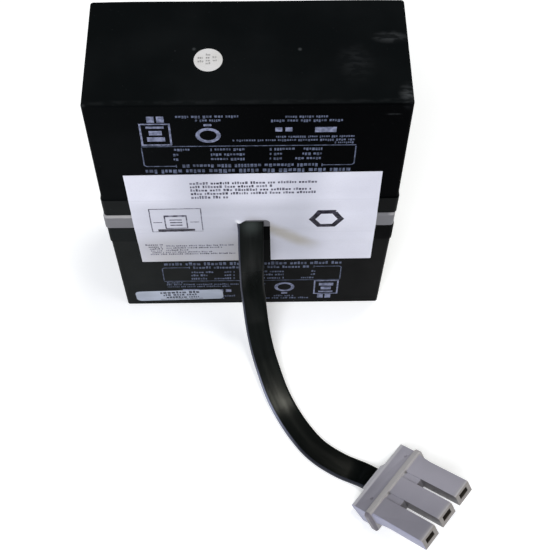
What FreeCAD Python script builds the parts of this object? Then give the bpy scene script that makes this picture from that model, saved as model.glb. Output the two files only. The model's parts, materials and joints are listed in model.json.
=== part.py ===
# Battery cartridge for a standby power supply: two sealed lead batteries stand
# top to top with a moulded terminal carrier between them, and a flat output
# cable leaves the front of the carrier and ends in a three-way connector.
# Millimetres, X to the right, Y to the back, Z up, origin at the bottom centre.
import FreeCAD, Part
import math
import os
import Sketcher
from FreeCAD import Placement, Rotation, Vector

doc = FreeCAD.newDocument("battery_cartridge")
sheet = doc.addObject("Spreadsheet::Sheet", "dims")

# Driving dimensions: alias and size in millimetres, angles in degrees.
dimensions = [
    ("lid_length", 153.1), ("lid_width", 65.0), ("lid_height", 15.0), ("lid_corner", 2.0),
    ("lid_edge", 0.9), ("lid_plate", 6.0),
    ("case_length", 150.8), ("case_width", 62.8), ("case_height", 79.0), ("case_corner", 1.6),
    ("case_edge", 0.6), ("case_draft", 0.435), ("case_floor", 2.6),
    ("cell_length", 47.4), ("cell_width", 28.2), ("partition", 1.5),
    ("notch_width", 8.0), ("notch_cross", 3.4), ("notch_depth", 4.0),
    ("vent_recess_length", 109.6), ("vent_recess_width", 42.0), ("vent_cover_thick", 1.5),
    ("vent_room_length", 107.0), ("vent_room_width", 38.8), ("vent_room_depth", 3.0), ("vent_bore", 3.0),
    ("valve_dia", 8.4), ("valve_thick", 2.4), ("part_gap", 0.15),
    ("well_length", 13.0), ("well_width", 11.0), ("well_depth", 4.0), ("post_dia", 6.0),
    ("post_hole", 6.4), ("terminal_x", 61.9), ("terminal_y", 20.0),
    ("tab_width", 6.35), ("tab_thick", 0.8), ("tab_rise", 5.5), ("tab_tip", 1.2), ("tab_hole", 1.8),
    ("foot_size", 8.0), ("seal_height", 2.7),
    ("plate_length", 45.6), ("plate_bottom", 4.0), ("plate_top", 70.0), ("lug_width", 6.0),
    ("lug_offset", 13.0), ("positive_thick", 3.2), ("negative_thick", 2.0), ("separator_thick", 0.55),
    ("strap_width", 8.0), ("strap_bottom", 76.5), ("strap_top", 82.0), ("bridge_width", 7.0),
    ("sleeve_width", 8.2), ("sleeve_depth", 2.4), ("sleeve_wall", 0.4), ("sleeve_slit", 3.2),
    ("sleeve_height", 6.0), ("sleeve_lift", 0.3), ("barrel_length", 5.0), ("barrel_width", 8.0),
    ("barrel_height", 4.0), ("barrel_lift", 2.0),
    ("carrier_height", 12.0), ("carrier_wall", 2.2), ("carrier_floor", 1.6), ("carrier_chamfer", 1.0),
    ("carrier_length", 153.0), ("carrier_shift", -0.5), ("carrier_overhang", 0.7),
    ("post_size", 6.0), ("window_length", 16.0), ("window_width", 13.0),
    ("cable_width", 13.5), ("cable_thick", 4.2), ("cable_x", 0.0),
    ("cable_turn", 17.5), ("cable_front", 44.8),
    ("cable_drop", 8.0), ("cable_fit", 0.2), ("cable_inside", 5.3), ("guide_wall", 2.0),
    ("core_dia", 3.6), ("core_pitch", 4.2), ("lead_out", 7.5), ("lead_in", 10.0), ("lead_spread", 2.0),
    ("lead_bend_x", 30.0), ("lead_bend_y", 9.0), ("link_lift", 0.6), ("link_left", 26.0), ("link_right", 14.0),
    ("finger_length", 34.7), ("finger_width", 11.2), ("finger_gap", 3.65), ("finger_thick", 7.8),
    ("finger_tip", 0.9), ("web_length", 10.7), ("web_step", 0.7), ("gusset_length", 9.0), ("gusset_width", 1.2),
    ("slot_width", 6.2), ("slot_height", 3.6), ("slot_level", 3.5),
    ("flange_thick", 3.0), ("flange_width", 47.4), ("flange_rise", 1.0), ("flange_drop", 14.2),
    ("flange_corner", 2.2), ("hood_length", 11.3), ("hood_width", 43.9), ("hood_thick", 13.0),
    ("hood_wall", 3.0), ("hood_chamfer", 1.2), ("hood_slant", 3.3), ("room_level", 4.5), ("room_height", 6.0),
    ("collar_length", 0.9), ("collar_rim", 1.2), ("collar_drop", 0.5), ("collar_height", 6.5),
    ("collar_long", 5.0), ("collar_short", 0.8),
    ("dimple_dia", 1.4), ("dimple_depth", 0.6), ("dimple_side", 15.2), ("dimple_shift", 1.7),
    ("dimple_back", 2.8),
    ("entry_shift", 2.8), ("strand_dia", 2.4), ("strand_run", 2.6),
    ("contact_length", 30.7), ("contact_back", 5.0), ("contact_wall", 0.5),
    ("connector_pitch", 30.0), ("connector_yaw", -41.1), ("connector_x", 75.9), ("connector_y", -148.3),
    ("label_width", 128.1), ("label_height", 89.0), ("label_thick", 0.25), ("label_x", 2.2),
    ("label_z", 100.3), ("label_turn", 0.75), ("label_slot", 17.3), ("label_slot_top", 102.0),
    ("label_slot_x", 1.5), ("label_slot_corner", 3.0), ("sticker_thick", 0.15), ("round_sticker_dia", 13.4),
    ("round_sticker_x", -18.3), ("round_sticker_y", -5.0),
    ("plain_sticker_length", 51.8), ("plain_sticker_height", 12.2), ("plain_sticker_x", -43.4),
    ("plain_sticker_z", 11.8), ("plain_sticker_corner", 3.0), ("plain_sticker_turn", 2.3),
]
for row, (alias, value) in enumerate(dimensions, start=1):
    sheet.set("A%d" % row, alias)
    sheet.set("B%d" % row, str(value))
    sheet.setAlias("B%d" % row, alias)
doc.recompute()
nodes = []


def size(alias):
    return float(sheet.get(alias))


def bind(thing, prop, expression):
    thing.setExpression(prop, expression)


# Short way to write a formula on the sheet's cells.
def formula(text):
    words = []
    for word in text.split():
        words.append("dims." + word if word[0].isalpha() else word)
    return " ".join(words)


def new_body(label):
    body = doc.addObject("PartDesign::Body", label)
    body.Label = label
    nodes.append(body)
    return body


def origin_feature(body, role):
    return [item for item in body.Origin.OriginFeatures if item.Role == role][0]


def new_sketch(body, plane="XY_Plane", level=None):
    sketch = body.newObject("Sketcher::SketchObject", body.Label + "_sketch")
    sketch.AttachmentSupport = [(origin_feature(body, plane), "")]
    sketch.MapMode = "FlatFace"
    if level:
        bind(sketch, "AttachmentOffset.Base.z", formula(level))
    return sketch


def measure(sketch, text):
    return float(sketch.evalExpression(formula(text)))


# A named, bound distance along a sketch axis between two points.
def hold(sketch, kind, first, second, text):
    value = measure(sketch, text)
    index = sketch.addConstraint(Sketcher.Constraint(kind, *first, *second, value))
    name = "d%d" % index
    sketch.renameConstraint(index, name)
    bind(sketch, "Constraints." + name, formula(text))


# A closed outline through points given as pairs of formulas; every point is bound.
def outline(sketch, points):
    corners = []
    for across, along in points:
        corners.append(Vector(measure(sketch, across), measure(sketch, along), 0))
    first = sketch.GeometryCount
    count = len(corners)
    for index in range(count):
        sketch.addGeometry(Part.LineSegment(corners[index], corners[(index + 1) % count]))
    for index in range(count):
        following = first + (index + 1) % count
        sketch.addConstraint(Sketcher.Constraint("Coincident", first + index, 2, following, 1))
    for index, (across, along) in enumerate(points):
        hold(sketch, "DistanceX", (-1, 1), (first + index, 1), across)
        hold(sketch, "DistanceY", (-1, 1), (first + index, 1), along)


def rectangle(sketch, x, y, length, width):
    low_x, high_x = x + " - " + length + " / 2", x + " + " + length + " / 2"
    low_y, high_y = y + " - " + width + " / 2", y + " + " + width + " / 2"
    outline(sketch, [(low_x, low_y), (high_x, low_y), (high_x, high_y), (low_x, high_y)])


def circle(sketch, x, y, diameter):
    centre = Vector(measure(sketch, x), measure(sketch, y), 0)
    index = sketch.addGeometry(Part.Circle(centre, Vector(0, 0, 1), measure(sketch, diameter) / 2))
    hold(sketch, "DistanceX", (-1, 1), (index, 3), x)
    hold(sketch, "DistanceY", (-1, 1), (index, 3), y)
    hold(sketch, "Diameter", (index,), (), diameter)


# A hole or post drawn with flat sides, so that repeated ones stay light.
def many_sided(sketch, x, y, diameter, sides):
    points = []
    for step in range(sides):
        angle = 2 * math.pi * (step + 0.5) / sides
        points.append(("%s + %.5f * %s" % (x, math.cos(angle) / 2, diameter),
                       "%s + %.5f * %s" % (y, math.sin(angle) / 2, diameter)))
    outline(sketch, points)


def extrude(body, kind, sketch, length, flip=False, both=False, taper=None):
    feature = body.newObject("PartDesign::" + kind, body.Label + "_" + kind.lower())
    feature.Profile = sketch
    bind(feature, "Length", formula(length))
    feature.Reversed = flip
    feature.Midplane = both
    if taper:
        bind(feature, "TaperAngle", formula(taper))
    doc.recompute()
    return feature


def pad(body, sketch, length, **options):
    return extrude(body, "Pad", sketch, length, **options)


def pocket(body, sketch, length, **options):
    return extrude(body, "Pocket", sketch, length, **options)


def edge_names(feature, test):
    return ["Edge%d" % (i + 1) for i, edge in enumerate(feature.Shape.Edges) if test(edge)]


def dress(body, kind, base, names, alias):
    feature = body.newObject("PartDesign::" + kind, body.Label + "_" + kind.lower())
    feature.Base = (base, names)
    bind(feature, "Radius" if kind == "Fillet" else "Size", formula(alias))
    doc.recompute()
    return feature


def upright(edge):
    box = edge.BoundBox
    return box.ZLength > 5 * max(box.XLength, box.YLength, 0.01)


def upright_y(edge):
    box = edge.BoundBox
    return box.YLength > 5 * max(box.XLength, box.ZLength, 0.01)


def flat_at(level):
    def test(edge):
        box = edge.BoundBox
        return abs(box.ZMin - level) < 1e-4 and abs(box.ZMax - level) < 1e-4
    return test


def new_solid(label, shape):
    feature = doc.addObject("Part::Feature", label)
    feature.Label = label
    feature.Shape = shape
    nodes.append(feature)
    return feature


def block(x, y, z, length, width, height):
    return Part.makeBox(length, width, height, Vector(x - length / 2, y - width / 2, z))


def prism(at, diameter, sides, height):
    points = []
    for step in range(sides):
        angle = 2 * math.pi * (step + 0.5) / sides
        points.append(at + Vector(math.cos(angle), math.sin(angle), 0) * (diameter / 2))
    return Part.Face(Part.makePolygon(points + points[:1])).extrude(Vector(0, 0, height))


# Where a route of straight runs turns: each bend is an arc as large as its runs allow.
def bends(points):
    found = []
    for before, corner, after in zip(points, points[1:], points[2:]):
        inward = (before - corner).normalize()
        outward = (after - corner).normalize()
        turn = math.pi - inward.getAngle(outward)
        reach = 0.45 * min((before - corner).Length, (after - corner).Length)
        radius = reach / math.tan(turn / 2)
        middle_way = (inward + outward).normalize()
        found.append({
            "enter": corner + inward * reach, "leave": corner + outward * reach, "radius": radius,
            "centre": corner + middle_way * (radius / math.cos(turn / 2)),
            "axis": outward.cross(inward).normalize(), "turn": math.degrees(turn)})
    return found


# Straight run of strip that turns about the upright on its way.
def twisted_run(face, run, turn):
    steps = 6
    wires = []
    for step in range(steps + 1):
        wire = face.OuterWire.copy()
        wire.rotate(face.CenterOfMass, Vector(0, 0, 1), turn * step / steps)
        wire.translate(run * (step / steps))
        wires.append(wire)
    return Part.makeLoft(wires, True, True)


# Flat strip along a route: the section slides along each run and swings round each bend.
def strip_along(points, section, twist_at=None, twist=0):
    face = Part.Face(Part.makePolygon(section + section[:1]))
    pieces = []
    length = 0
    start = points[0]
    for index, bend in enumerate(bends(points)):
        run = bend["enter"] - start
        if index == twist_at:
            pieces.append(twisted_run(face, run, twist))
            face.rotate(face.CenterOfMass, Vector(0, 0, 1), twist)
        else:
            pieces.append(face.extrude(run))
        face.translate(run)
        pieces.append(face.revolve(bend["centre"], bend["axis"], bend["turn"]))
        face.rotate(bend["centre"], bend["axis"], bend["turn"])
        length += run.Length + bend["radius"] * math.radians(bend["turn"])
        start = bend["leave"]
    pieces.append(face.extrude(points[-1] - start))
    length += (points[-1] - start).Length
    return pieces[0].multiFuse(pieces[1:]).removeSplitter(), length


# Core along a route, drawn with six sides.
def core(points, diameter):
    along = (points[1] - points[0]).normalize()
    across = along.cross(Vector(0, 0, 1)).normalize()
    up = across.cross(along)
    section = []
    for step in range(6):
        angle = math.radians(60 * step)
        side = across * math.cos(angle) + up * math.sin(angle)
        section.append(points[0] + side * (diameter / 2))
    return strip_along(points, section)[0]


# Where the six cells stand: three along the battery and two across it.
cell_pitch = "( cell_length + partition )"
row_pitch = "( cell_width + partition )"
cells = []
for along in (-1, 0, 1):
    for across in (-1, 1):
        cells.append((along, across))


def cell_x(along):
    return "%d * %s" % (along, cell_pitch)


def cell_y(across):
    return "%d * %s / 2" % (across, row_pitch)


def battery_case(label):
    body = new_body(label)
    base = new_sketch(body)
    rectangle(base, "0", "0", "case_length", "case_width")
    shell = pad(body, base, "case_height", taper="case_draft")
    rounded = dress(body, "Fillet", shell, edge_names(shell, upright), "case_corner")
    dress(body, "Chamfer", rounded, edge_names(rounded, flat_at(0)), "case_edge")
    wells = new_sketch(body, level="case_height")
    for along, across in cells:
        rectangle(wells, cell_x(along), cell_y(across), "cell_length", "cell_width")
    pocket(body, wells, "case_height - case_floor")
    return body


def battery_lid(label):
    top = "case_height + lid_height"
    body = new_body(label)
    base = new_sketch(body, level="case_height")
    rectangle(base, "0", "0", "lid_length", "lid_width")
    plate = pad(body, base, "lid_height")
    rounded = dress(body, "Fillet", plate, edge_names(plate, upright), "lid_corner")
    rim_level = size("case_height") + size("lid_height")
    dress(body, "Chamfer", rounded, edge_names(rounded, flat_at(rim_level)), "lid_edge")
    rooms = new_sketch(body, level="case_height")
    for along, across in cells:
        rectangle(rooms, cell_x(along), cell_y(across), "cell_length", "cell_width")
    pocket(body, rooms, "lid_height - lid_plate", flip=True)
    notches = new_sketch(body, level="case_height")
    for side in (-1, 1):
        for across in (-1, 1):
            wall_x = "%d * %s / 2" % (side, cell_pitch)
            rectangle(notches, wall_x, cell_y(across), "notch_cross", "notch_width")
    rectangle(notches, "terminal_x", "0", "notch_width", "notch_cross")
    pocket(body, notches, "notch_depth", flip=True)
    recess = new_sketch(body, level=top)
    rectangle(recess, "0", "0", "vent_recess_length", "vent_recess_width")
    pocket(body, recess, "vent_cover_thick")
    gas_room = new_sketch(body, level=top + " - vent_cover_thick")
    rectangle(gas_room, "0", "0", "vent_room_length", "vent_room_width")
    pocket(body, gas_room, "vent_room_depth")
    bores = new_sketch(body, level=top)
    for along, across in cells:
        many_sided(bores, cell_x(along), cell_y(across), "vent_bore", 6)
    pocket(body, bores, "lid_plate + 1")
    wells = new_sketch(body, level=top)
    post_holes = new_sketch(body, level=top)
    for side in (-1, 1):
        rectangle(wells, "-1 * terminal_x", "%d * terminal_y" % side, "well_length", "well_width")
        many_sided(post_holes, "-1 * terminal_x", "%d * terminal_y" % side, "post_hole", 8)
    pocket(body, wells, "well_depth")
    pocket(body, post_holes, "lid_plate + 1")
    return body


def vent_cover(label):
    body = new_body(label)
    base = new_sketch(body, level="case_height + lid_height - vent_cover_thick")
    rectangle(base, "0", "0", "( vent_recess_length - 2 * part_gap )", "( vent_recess_width - 2 * part_gap )")
    pad(body, base, "vent_cover_thick")
    return body


# Rubber disc valves, one lying over each vent bore.
def vent_valves(label):
    floor = size("case_height") + size("lid_height") - size("vent_cover_thick") - size("vent_room_depth")
    pitch_x, pitch_y = size("cell_length") + size("partition"), size("cell_width") + size("partition")
    discs = []
    for along, across in cells:
        at = Vector(along * pitch_x, across * pitch_y / 2, floor)
        discs.append(prism(at, size("valve_dia"), 8, size("valve_thick")))
    return new_solid(label, Part.makeCompound(discs))


# Plate with its lug, standing in the XZ plane.
def plate(x, y, lug_x, thick):
    half, lug = size("plate_length") / 2, size("lug_width") / 2
    bottom, top, lug_top = size("plate_bottom"), size("plate_top"), size("strap_bottom")
    corners = [(x - half, bottom), (x + half, bottom), (x + half, top), (lug_x + lug, top),
               (lug_x + lug, lug_top), (lug_x - lug, lug_top), (lug_x - lug, top), (x - half, top)]
    points = [Vector(px, y, pz) for px, pz in corners]
    face = Part.Face(Part.makePolygon(points + points[:1]))
    return face.extrude(Vector(0, thick, 0))


# Stack order across a cell: five negative plates with four positive ones between,
# and a glass mat on both sides of every positive plate.
def cell_stacks(prefix):
    pitch_x, pitch_y = size("cell_length") + size("partition"), size("cell_width") + size("partition")
    thick = {"negative": size("negative_thick"), "positive": size("positive_thick"),
             "separator": size("separator_thick")}
    order = ["negative"]
    for _ in range(4):
        order += ["separator", "positive", "separator", "negative"]
    depth = sum(thick[kind] for kind in order)
    bottom = size("plate_bottom")
    tall = size("plate_top") - bottom
    found = {"negative": [], "positive": [], "separator": []}
    for along, across in cells:
        x, y = along * pitch_x, across * pitch_y / 2 - depth / 2
        lugs = {"negative": x + across * size("lug_offset"), "positive": x - across * size("lug_offset")}
        for kind in order:
            if kind == "separator":
                middle = y + thick[kind] / 2
                found[kind].append(block(x, middle, bottom, size("plate_length"), thick[kind], tall))
            else:
                found[kind].append(plate(x, y, lugs[kind], thick[kind]))
            y += thick[kind]
    for kind, shapes in found.items():
        name = prefix + ("separators" if kind == "separator" else kind + "_plates")
        new_solid(name, Part.makeCompound(shapes))


# Lead straps: five bridges over the partitions and two end straps with posts.
def cell_straps(label):
    bottom, top = size("strap_bottom"), size("strap_top")
    over = size("case_height") + 2 * size("part_gap")
    pitch_x, pitch_y = size("cell_length") + size("partition"), size("cell_width") + size("partition")
    bar_length = size("cell_width") - 2 * size("partition")
    offset = size("lug_offset")

    def bar(x, across):
        return block(x, across * pitch_y / 2, bottom, size("strap_width"), bar_length, top - bottom)

    straps = []
    for across in (-1, 1):
        for side in (-1, 1):
            middle = side * pitch_x / 2
            reach = pitch_x / 2 - offset
            bridge = block(middle, across * pitch_y / 2, over, 2 * reach, size("bridge_width"), top - over)
            ends = [bar(middle + reach, across), bridge]
            straps.append(bar(middle - reach, across).fuse(ends).removeSplitter())
        post_height = size("case_height") + size("lid_height") - size("well_depth") - top
        at = Vector(-size("terminal_x"), across * size("terminal_y"), top)
        post = prism(at, size("post_dia"), 8, post_height)
        straps.append(bar(-pitch_x - offset, across).fuse(post).removeSplitter())
    x = pitch_x + offset
    bridge = block(x, 0, over, size("bridge_width"), pitch_y, top - over)
    straps.append(bar(x, -1).fuse([bar(x, 1), bridge]).removeSplitter())
    return new_solid(label, Part.makeCompound(straps))


# Upright push-on tab on a square foot.
def terminal(label, side):
    body = new_body(label)
    x, y = "-1 * terminal_x", "%d * terminal_y" % side
    floor = "case_height + lid_height - well_depth"
    foot = new_sketch(body, level=floor)
    rectangle(foot, x, y, "foot_size", "foot_size")
    pad(body, foot, "tab_thick")
    blade = new_sketch(body, "XZ_Plane", "%d * terminal_y" % -side)
    low, high = floor, "case_height + lid_height + tab_rise"
    left, right = x + " - tab_width / 2", x + " + tab_width / 2"
    outline(blade, [(left, low), (right, low), (right, high + " - tab_tip"), (right + " - tab_tip", high),
                    (left + " + tab_tip", high), (left, high + " - tab_tip")])
    many_sided(blade, x, high + " - tab_tip * 2", "tab_hole", 6)
    pad(body, blade, "tab_thick", both=True)
    return body


def terminal_seals(label):
    floor = size("case_height") + size("lid_height") - size("well_depth") + size("tab_thick")
    gap, height = size("part_gap"), size("seal_height")
    fills = []
    for side in (-1, 1):
        x, y = -size("terminal_x"), side * size("terminal_y")
        fill = block(x, y, floor, size("well_length") - 2 * gap, size("well_width") - 2 * gap, height)
        slit = block(x, y, floor, size("tab_width") + 2 * gap, size("tab_thick") + 2 * gap, height)
        fills.append(fill.cut(slit))
    return new_solid(label, Part.makeCompound(fills))


# Push-on receptacle: a folded sleeve round the tab, with a flag barrel for the cores.
def receptacle(label, side):
    body = new_body(label)
    x, y = "-1 * terminal_x", "%d * terminal_y" % side
    sleeve = new_sketch(body, level="case_height + lid_height + sleeve_lift")
    left, right = x + " - sleeve_width / 2", x + " + sleeve_width / 2"
    front, back = y + " - sleeve_depth / 2", y + " + sleeve_depth / 2"
    slit_left, slit_right = x + " - sleeve_slit / 2", x + " + sleeve_slit / 2"
    outline(sleeve, [(left, front), (slit_left, front), (slit_left, front + " + sleeve_wall"),
                     (left + " + sleeve_wall", front + " + sleeve_wall"),
                     (left + " + sleeve_wall", back + " - sleeve_wall"),
                     (right + " - sleeve_wall", back + " - sleeve_wall"),
                     (right + " - sleeve_wall", front + " + sleeve_wall"),
                     (slit_right, front + " + sleeve_wall"), (slit_right, front), (right, front),
                     (right, back), (left, back)])
    pad(body, sleeve, "sleeve_height")
    barrel = new_sketch(body, level="case_height + lid_height + barrel_lift")
    rectangle(barrel, right + " + barrel_length / 2", y, "barrel_length", "barrel_width")
    pad(body, barrel, "barrel_height")
    return body


def battery(prefix, place):
    first = len(nodes)
    battery_case(prefix + "case")
    battery_lid(prefix + "lid")
    vent_cover(prefix + "vent_cover")
    vent_valves(prefix + "vent_valves")
    cell_stacks(prefix)
    cell_straps(prefix + "cell_straps")
    for name, side in (("negative", -1), ("positive", 1)):
        terminal(prefix + name + "_terminal", side)
        receptacle(prefix + name + "_receptacle", side)
    terminal_seals(prefix + "terminal_seals")
    for node in nodes[first:]:
        node.Placement = place


battery_height = size("case_height") + size("lid_height")
pack_height = 2 * battery_height + size("carrier_height")
battery("lower_", Placement())
battery("upper_", Placement(Vector(0, 0, pack_height), Rotation(Vector(0, 1, 0), 180)))
cable_z = pack_height / 2 + size("carrier_height") / 2 - size("cable_drop")
post_places = [(-57, 0), (-30, 3), (15, -7), (53, 3)]


# Tray between the two lids: rim, floor, support posts and the cable's mouth. It lies a
# little off the lids' middle, so its rim stands out at the left end and back at the right.
def terminal_carrier(label):
    body = new_body(label)
    base = new_sketch(body)
    rectangle(base, "carrier_shift", "0", "carrier_length", "( lid_width + 2 * carrier_overhang )")
    rim = pad(body, base, "carrier_height")
    rounded = dress(body, "Fillet", rim, edge_names(rim, upright), "lid_corner")
    outer = edge_names(rounded, flat_at(0)) + edge_names(rounded, flat_at(size("carrier_height")))
    dress(body, "Chamfer", rounded, outer, "carrier_chamfer")
    inside = new_sketch(body, level="carrier_height")
    rectangle(inside, "0", "0", "( lid_length - 2 * carrier_wall )", "( lid_width - 2 * carrier_wall )")
    pocket(body, inside, "carrier_height - carrier_floor")
    floor_cuts = new_sketch(body, level="carrier_floor")
    for side in (-1, 1):
        rectangle(floor_cuts, "-1 * terminal_x", "%d * terminal_y" % side, "window_length", "window_width")
    pocket(body, floor_cuts, "carrier_floor")
    pillars = new_sketch(body)
    for x, y in post_places:
        rectangle(pillars, str(x), str(y), "post_size", "post_size")
    pad(body, pillars, "carrier_height")
    guides = new_sketch(body)
    guide_end = "-1 * lid_width / 2 + cable_inside"
    guide_start = "-1 * lid_width / 2 + carrier_wall / 2"
    for side in (-1, 1):
        near = "cable_x + %d * ( cable_width / 2 + cable_fit )" % side
        far = near + " + %d * guide_wall" % side
        outline(guides, [(near, guide_start), (far, guide_start), (far, guide_end), (near, guide_end)])
    pad(body, guides, "carrier_height")
    mouth = new_sketch(body, "XZ_Plane", "lid_width / 2 + carrier_overhang + 1")
    rectangle(mouth, "cable_x", "( carrier_height - cable_drop )",
              "( cable_width + 2 * cable_fit )", "( cable_thick + 2 * cable_fit )")
    pocket(body, mouth, "carrier_wall + carrier_overhang + 2")
    body.Placement = Placement(Vector(0, 0, battery_height), Rotation())
    return body


terminal_carrier("terminal_carrier")

# Cores inside the carrier, from the cable's inner end to the receptacles' barrels.
core_start = -size("lid_width") / 2 + size("cable_inside")
barrel_face = size("terminal_x") - size("sleeve_width") / 2 - size("barrel_length")
barrel_level = size("barrel_lift") + size("barrel_height") / 2
low_z = battery_height + barrel_level
high_z = pack_height - battery_height - barrel_level
link_z = high_z + size("link_lift")
side_y = size("terminal_y")
centre = size("cable_x")
pitch = size("core_pitch")
core_dia = size("core_dia")
bend_x, bend_y = size("lead_bend_x"), size("lead_bend_y")
lead_out = Vector(0, size("lead_out"), 0)
lead_in = Vector(size("lead_in"), 0, 0)
spread = Vector(0, size("lead_spread"), 0)
left_start = Vector(centre - pitch, core_start, cable_z)
right_start = Vector(centre + pitch, core_start, cable_z)
lower_front = Vector(-barrel_face, -side_y, low_z)
lower_back = Vector(-barrel_face, side_y, low_z)
upper_front = Vector(barrel_face, -side_y, high_z)
upper_back = Vector(barrel_face, side_y, high_z)
new_solid("negative_lead", core(
    [left_start, left_start + lead_out, lower_front + lead_in, lower_front], core_dia))
new_solid("centre_lead", core(
    [right_start, right_start + lead_out, Vector(bend_x, -side_y, cable_z + 1),
     upper_front - spread - lead_in, upper_front - spread], core_dia))
new_solid("positive_lead", core(
    [Vector(centre, core_start, cable_z), Vector(centre, bend_y - 3, cable_z), Vector(bend_x, bend_y, cable_z),
     upper_back - lead_in, upper_back], core_dia))
new_solid("link_lead", core(
    [lower_back, lower_back + lead_in, Vector(-size("link_left"), side_y - 1, link_z),
     Vector(size("link_right"), side_y - 2, link_z), Vector(bend_x + 7, 4 - side_y, link_z),
     upper_front + spread - lead_in, upper_front + spread], core_dia))

# Connector frame: its own +X runs from the hood to the finger tips and +Z is its top;
# it leans back on the hood's lower rear edge.
lean = math.radians(size("connector_pitch"))
rear = size("flange_thick") + size("hood_length")
rest_hood = (rear - size("hood_slant")) * math.sin(lean) + size("hood_thick") * math.cos(lean)
rest_flange = size("flange_thick") * math.sin(lean) + size("flange_drop") * math.cos(lean)
turn = Rotation(Vector(0, 0, 1), size("connector_yaw")).multiply(
    Rotation(Vector(0, 1, 0), -size("connector_pitch")))
connector_place = Placement(
    Vector(size("connector_x"), size("connector_y"), max(rest_hood, rest_flange)), turn)
finger_pitch = "( finger_width + finger_gap )"


# Mating half: flange, three fingers with webs between their roots, and the contact slots.
def connector_housing(label):
    body = new_body(label)
    fingers = new_sketch(body)
    for place in (-1, 0, 1):
        across = "%d * %s" % (place, finger_pitch)
        rectangle(fingers, "finger_length / 2", across, "finger_length", "finger_width")
    pad(body, fingers, "finger_thick", flip=True)
    webs = new_sketch(body, level="-1 * web_step")
    for side in (-1, 1):
        rectangle(webs, "web_length / 2", "%d * %s / 2" % (side, finger_pitch), "web_length", "finger_gap")
    pad(body, webs, "finger_thick - 2 * web_step", flip=True)
    gussets = new_sketch(body)
    for side in (-1, 1):
        root = "%d * ( %s + finger_width / 2 )" % (side, finger_pitch)
        wide = root + " + %d * gusset_width" % side
        waist = root + " + %d * gusset_width / 2" % side
        outline(gussets, [("0", root), ("gusset_length", root), ("gusset_length / 3", waist), ("0", wide)])
    pad(body, gussets, "finger_thick", flip=True)
    plate = new_sketch(body, "YZ_Plane")
    tall = "( flange_rise + flange_drop )"
    rectangle(plate, "0", "( flange_rise - flange_drop ) / 2", "flange_width", tall)
    flange = pad(body, plate, "flange_thick", flip=True)
    half = size("flange_width") / 2

    def flange_corner(edge):
        box = edge.BoundBox
        lengthwise = box.XLength > 5 * max(box.YLength, box.ZLength, 0.01)
        return lengthwise and max(abs(box.YMin), abs(box.YMax)) > half - 0.01

    rounded = dress(body, "Fillet", flange, edge_names(flange, flange_corner), "flange_corner")
    tip = size("finger_length")

    def tip_edge(edge):
        box = edge.BoundBox
        return box.XMin > tip - 0.01 and box.ZMin > -0.01

    dress(body, "Chamfer", rounded, edge_names(rounded, tip_edge), "finger_tip")
    slots = new_sketch(body, "YZ_Plane", "finger_length")
    for place in (-1, 0, 1):
        rectangle(slots, "%d * %s" % (place, finger_pitch), "-1 * slot_level", "slot_width", "slot_height")
    pocket(body, slots, "finger_length + flange_thick")
    body.Placement = connector_place
    return body


# Rear hood: a shell over the crimps, with a collar where the cable comes in.
def connector_hood(label):
    body = new_body(label)
    profile = new_sketch(body, "XZ_Plane")
    front, back, low = "-1 * flange_thick", "-1 * flange_thick - hood_length", "-1 * hood_thick"
    outline(profile, [(front, "0"), (front, low), (back + " + hood_slant", low), (back, "-1 * hood_chamfer"),
                      (back + " + hood_chamfer", "0")])
    pad(body, profile, "hood_width", both=True)
    room = new_sketch(body, "YZ_Plane", front)
    rectangle(room, "0", "-1 * room_level", "( hood_width - 2 * hood_wall )", "room_height")
    pocket(body, room, "hood_length - hood_wall")
    collar = new_sketch(body, level="-1 * collar_drop")
    left = "-1 * entry_shift - cable_width / 2 - collar_rim"
    right = "-1 * entry_shift + cable_width / 2 + collar_rim"
    root, mouth = back + " + hood_chamfer + 1", back + " - collar_length"
    outline(collar, [(root, left + " - collar_short"), (mouth, left),
                     (mouth, right), (root, right + " + collar_long")])
    pad(body, collar, "collar_height", flip=True)
    entry = new_sketch(body, "YZ_Plane", mouth)
    wide, tall = "( cable_width + 2 * cable_fit )", "( cable_thick + 2 * cable_fit )"
    rectangle(entry, "-1 * entry_shift", "-1 * slot_level", wide, tall)
    pocket(body, entry, "collar_length + hood_wall", flip=True)
    dimples = new_sketch(body)
    for side in (-1, 1):
        across = "dimple_shift + %d * dimple_side" % side
        circle(dimples, "-1 * flange_thick - dimple_back", across, "dimple_dia")
    pocket(body, dimples, "dimple_depth")
    body.Placement = connector_place
    return body


# Box contact: a square sleeve pushed into each finger from behind.
def connector_contact(label, place):
    body = new_body(label)
    face = new_sketch(body, "YZ_Plane", "finger_length - contact_back")
    y, z = "%d * %s" % (place, finger_pitch), "-1 * slot_level"
    rectangle(face, y, z, "( slot_width - 2 * part_gap )", "( slot_height - 2 * part_gap )")
    pad(body, face, "contact_length", flip=True)
    bore = new_sketch(body, "YZ_Plane", "finger_length - contact_back")
    rectangle(bore, y, z, "( slot_width - 2 * contact_wall - 2 * part_gap )",
              "( slot_height - 2 * contact_wall - 2 * part_gap )")
    pocket(body, bore, "contact_length - 3 * contact_wall")
    body.Placement = connector_place
    return body


connector_housing("connector_housing")
connector_hood("connector_hood")
for place in (-1, 0, 1):
    connector_contact("connector_contact_%d" % (place + 2), place)

# Bare ends of the cores inside the hood, from the cable's end to the backs of the contacts.
cable_end = -rear + size("hood_wall")
contact_end = size("finger_length") - size("contact_back") - size("contact_length")
finger_step = size("finger_width") + size("finger_gap")
hood_cores = []
for place in (-1, 0, 1):
    start = Vector(cable_end, place * pitch - size("entry_shift"), -size("slot_level"))
    finish = Vector(contact_end, place * finger_step, -size("slot_level"))
    leave = Vector(size("strand_run"), 0, 0)
    hood_cores.append(core([start, start + leave, finish - leave, finish], size("strand_dia")))
hood_group = new_solid("connector_cores", Part.makeCompound(hood_cores))
hood_group.Placement = connector_place

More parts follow.
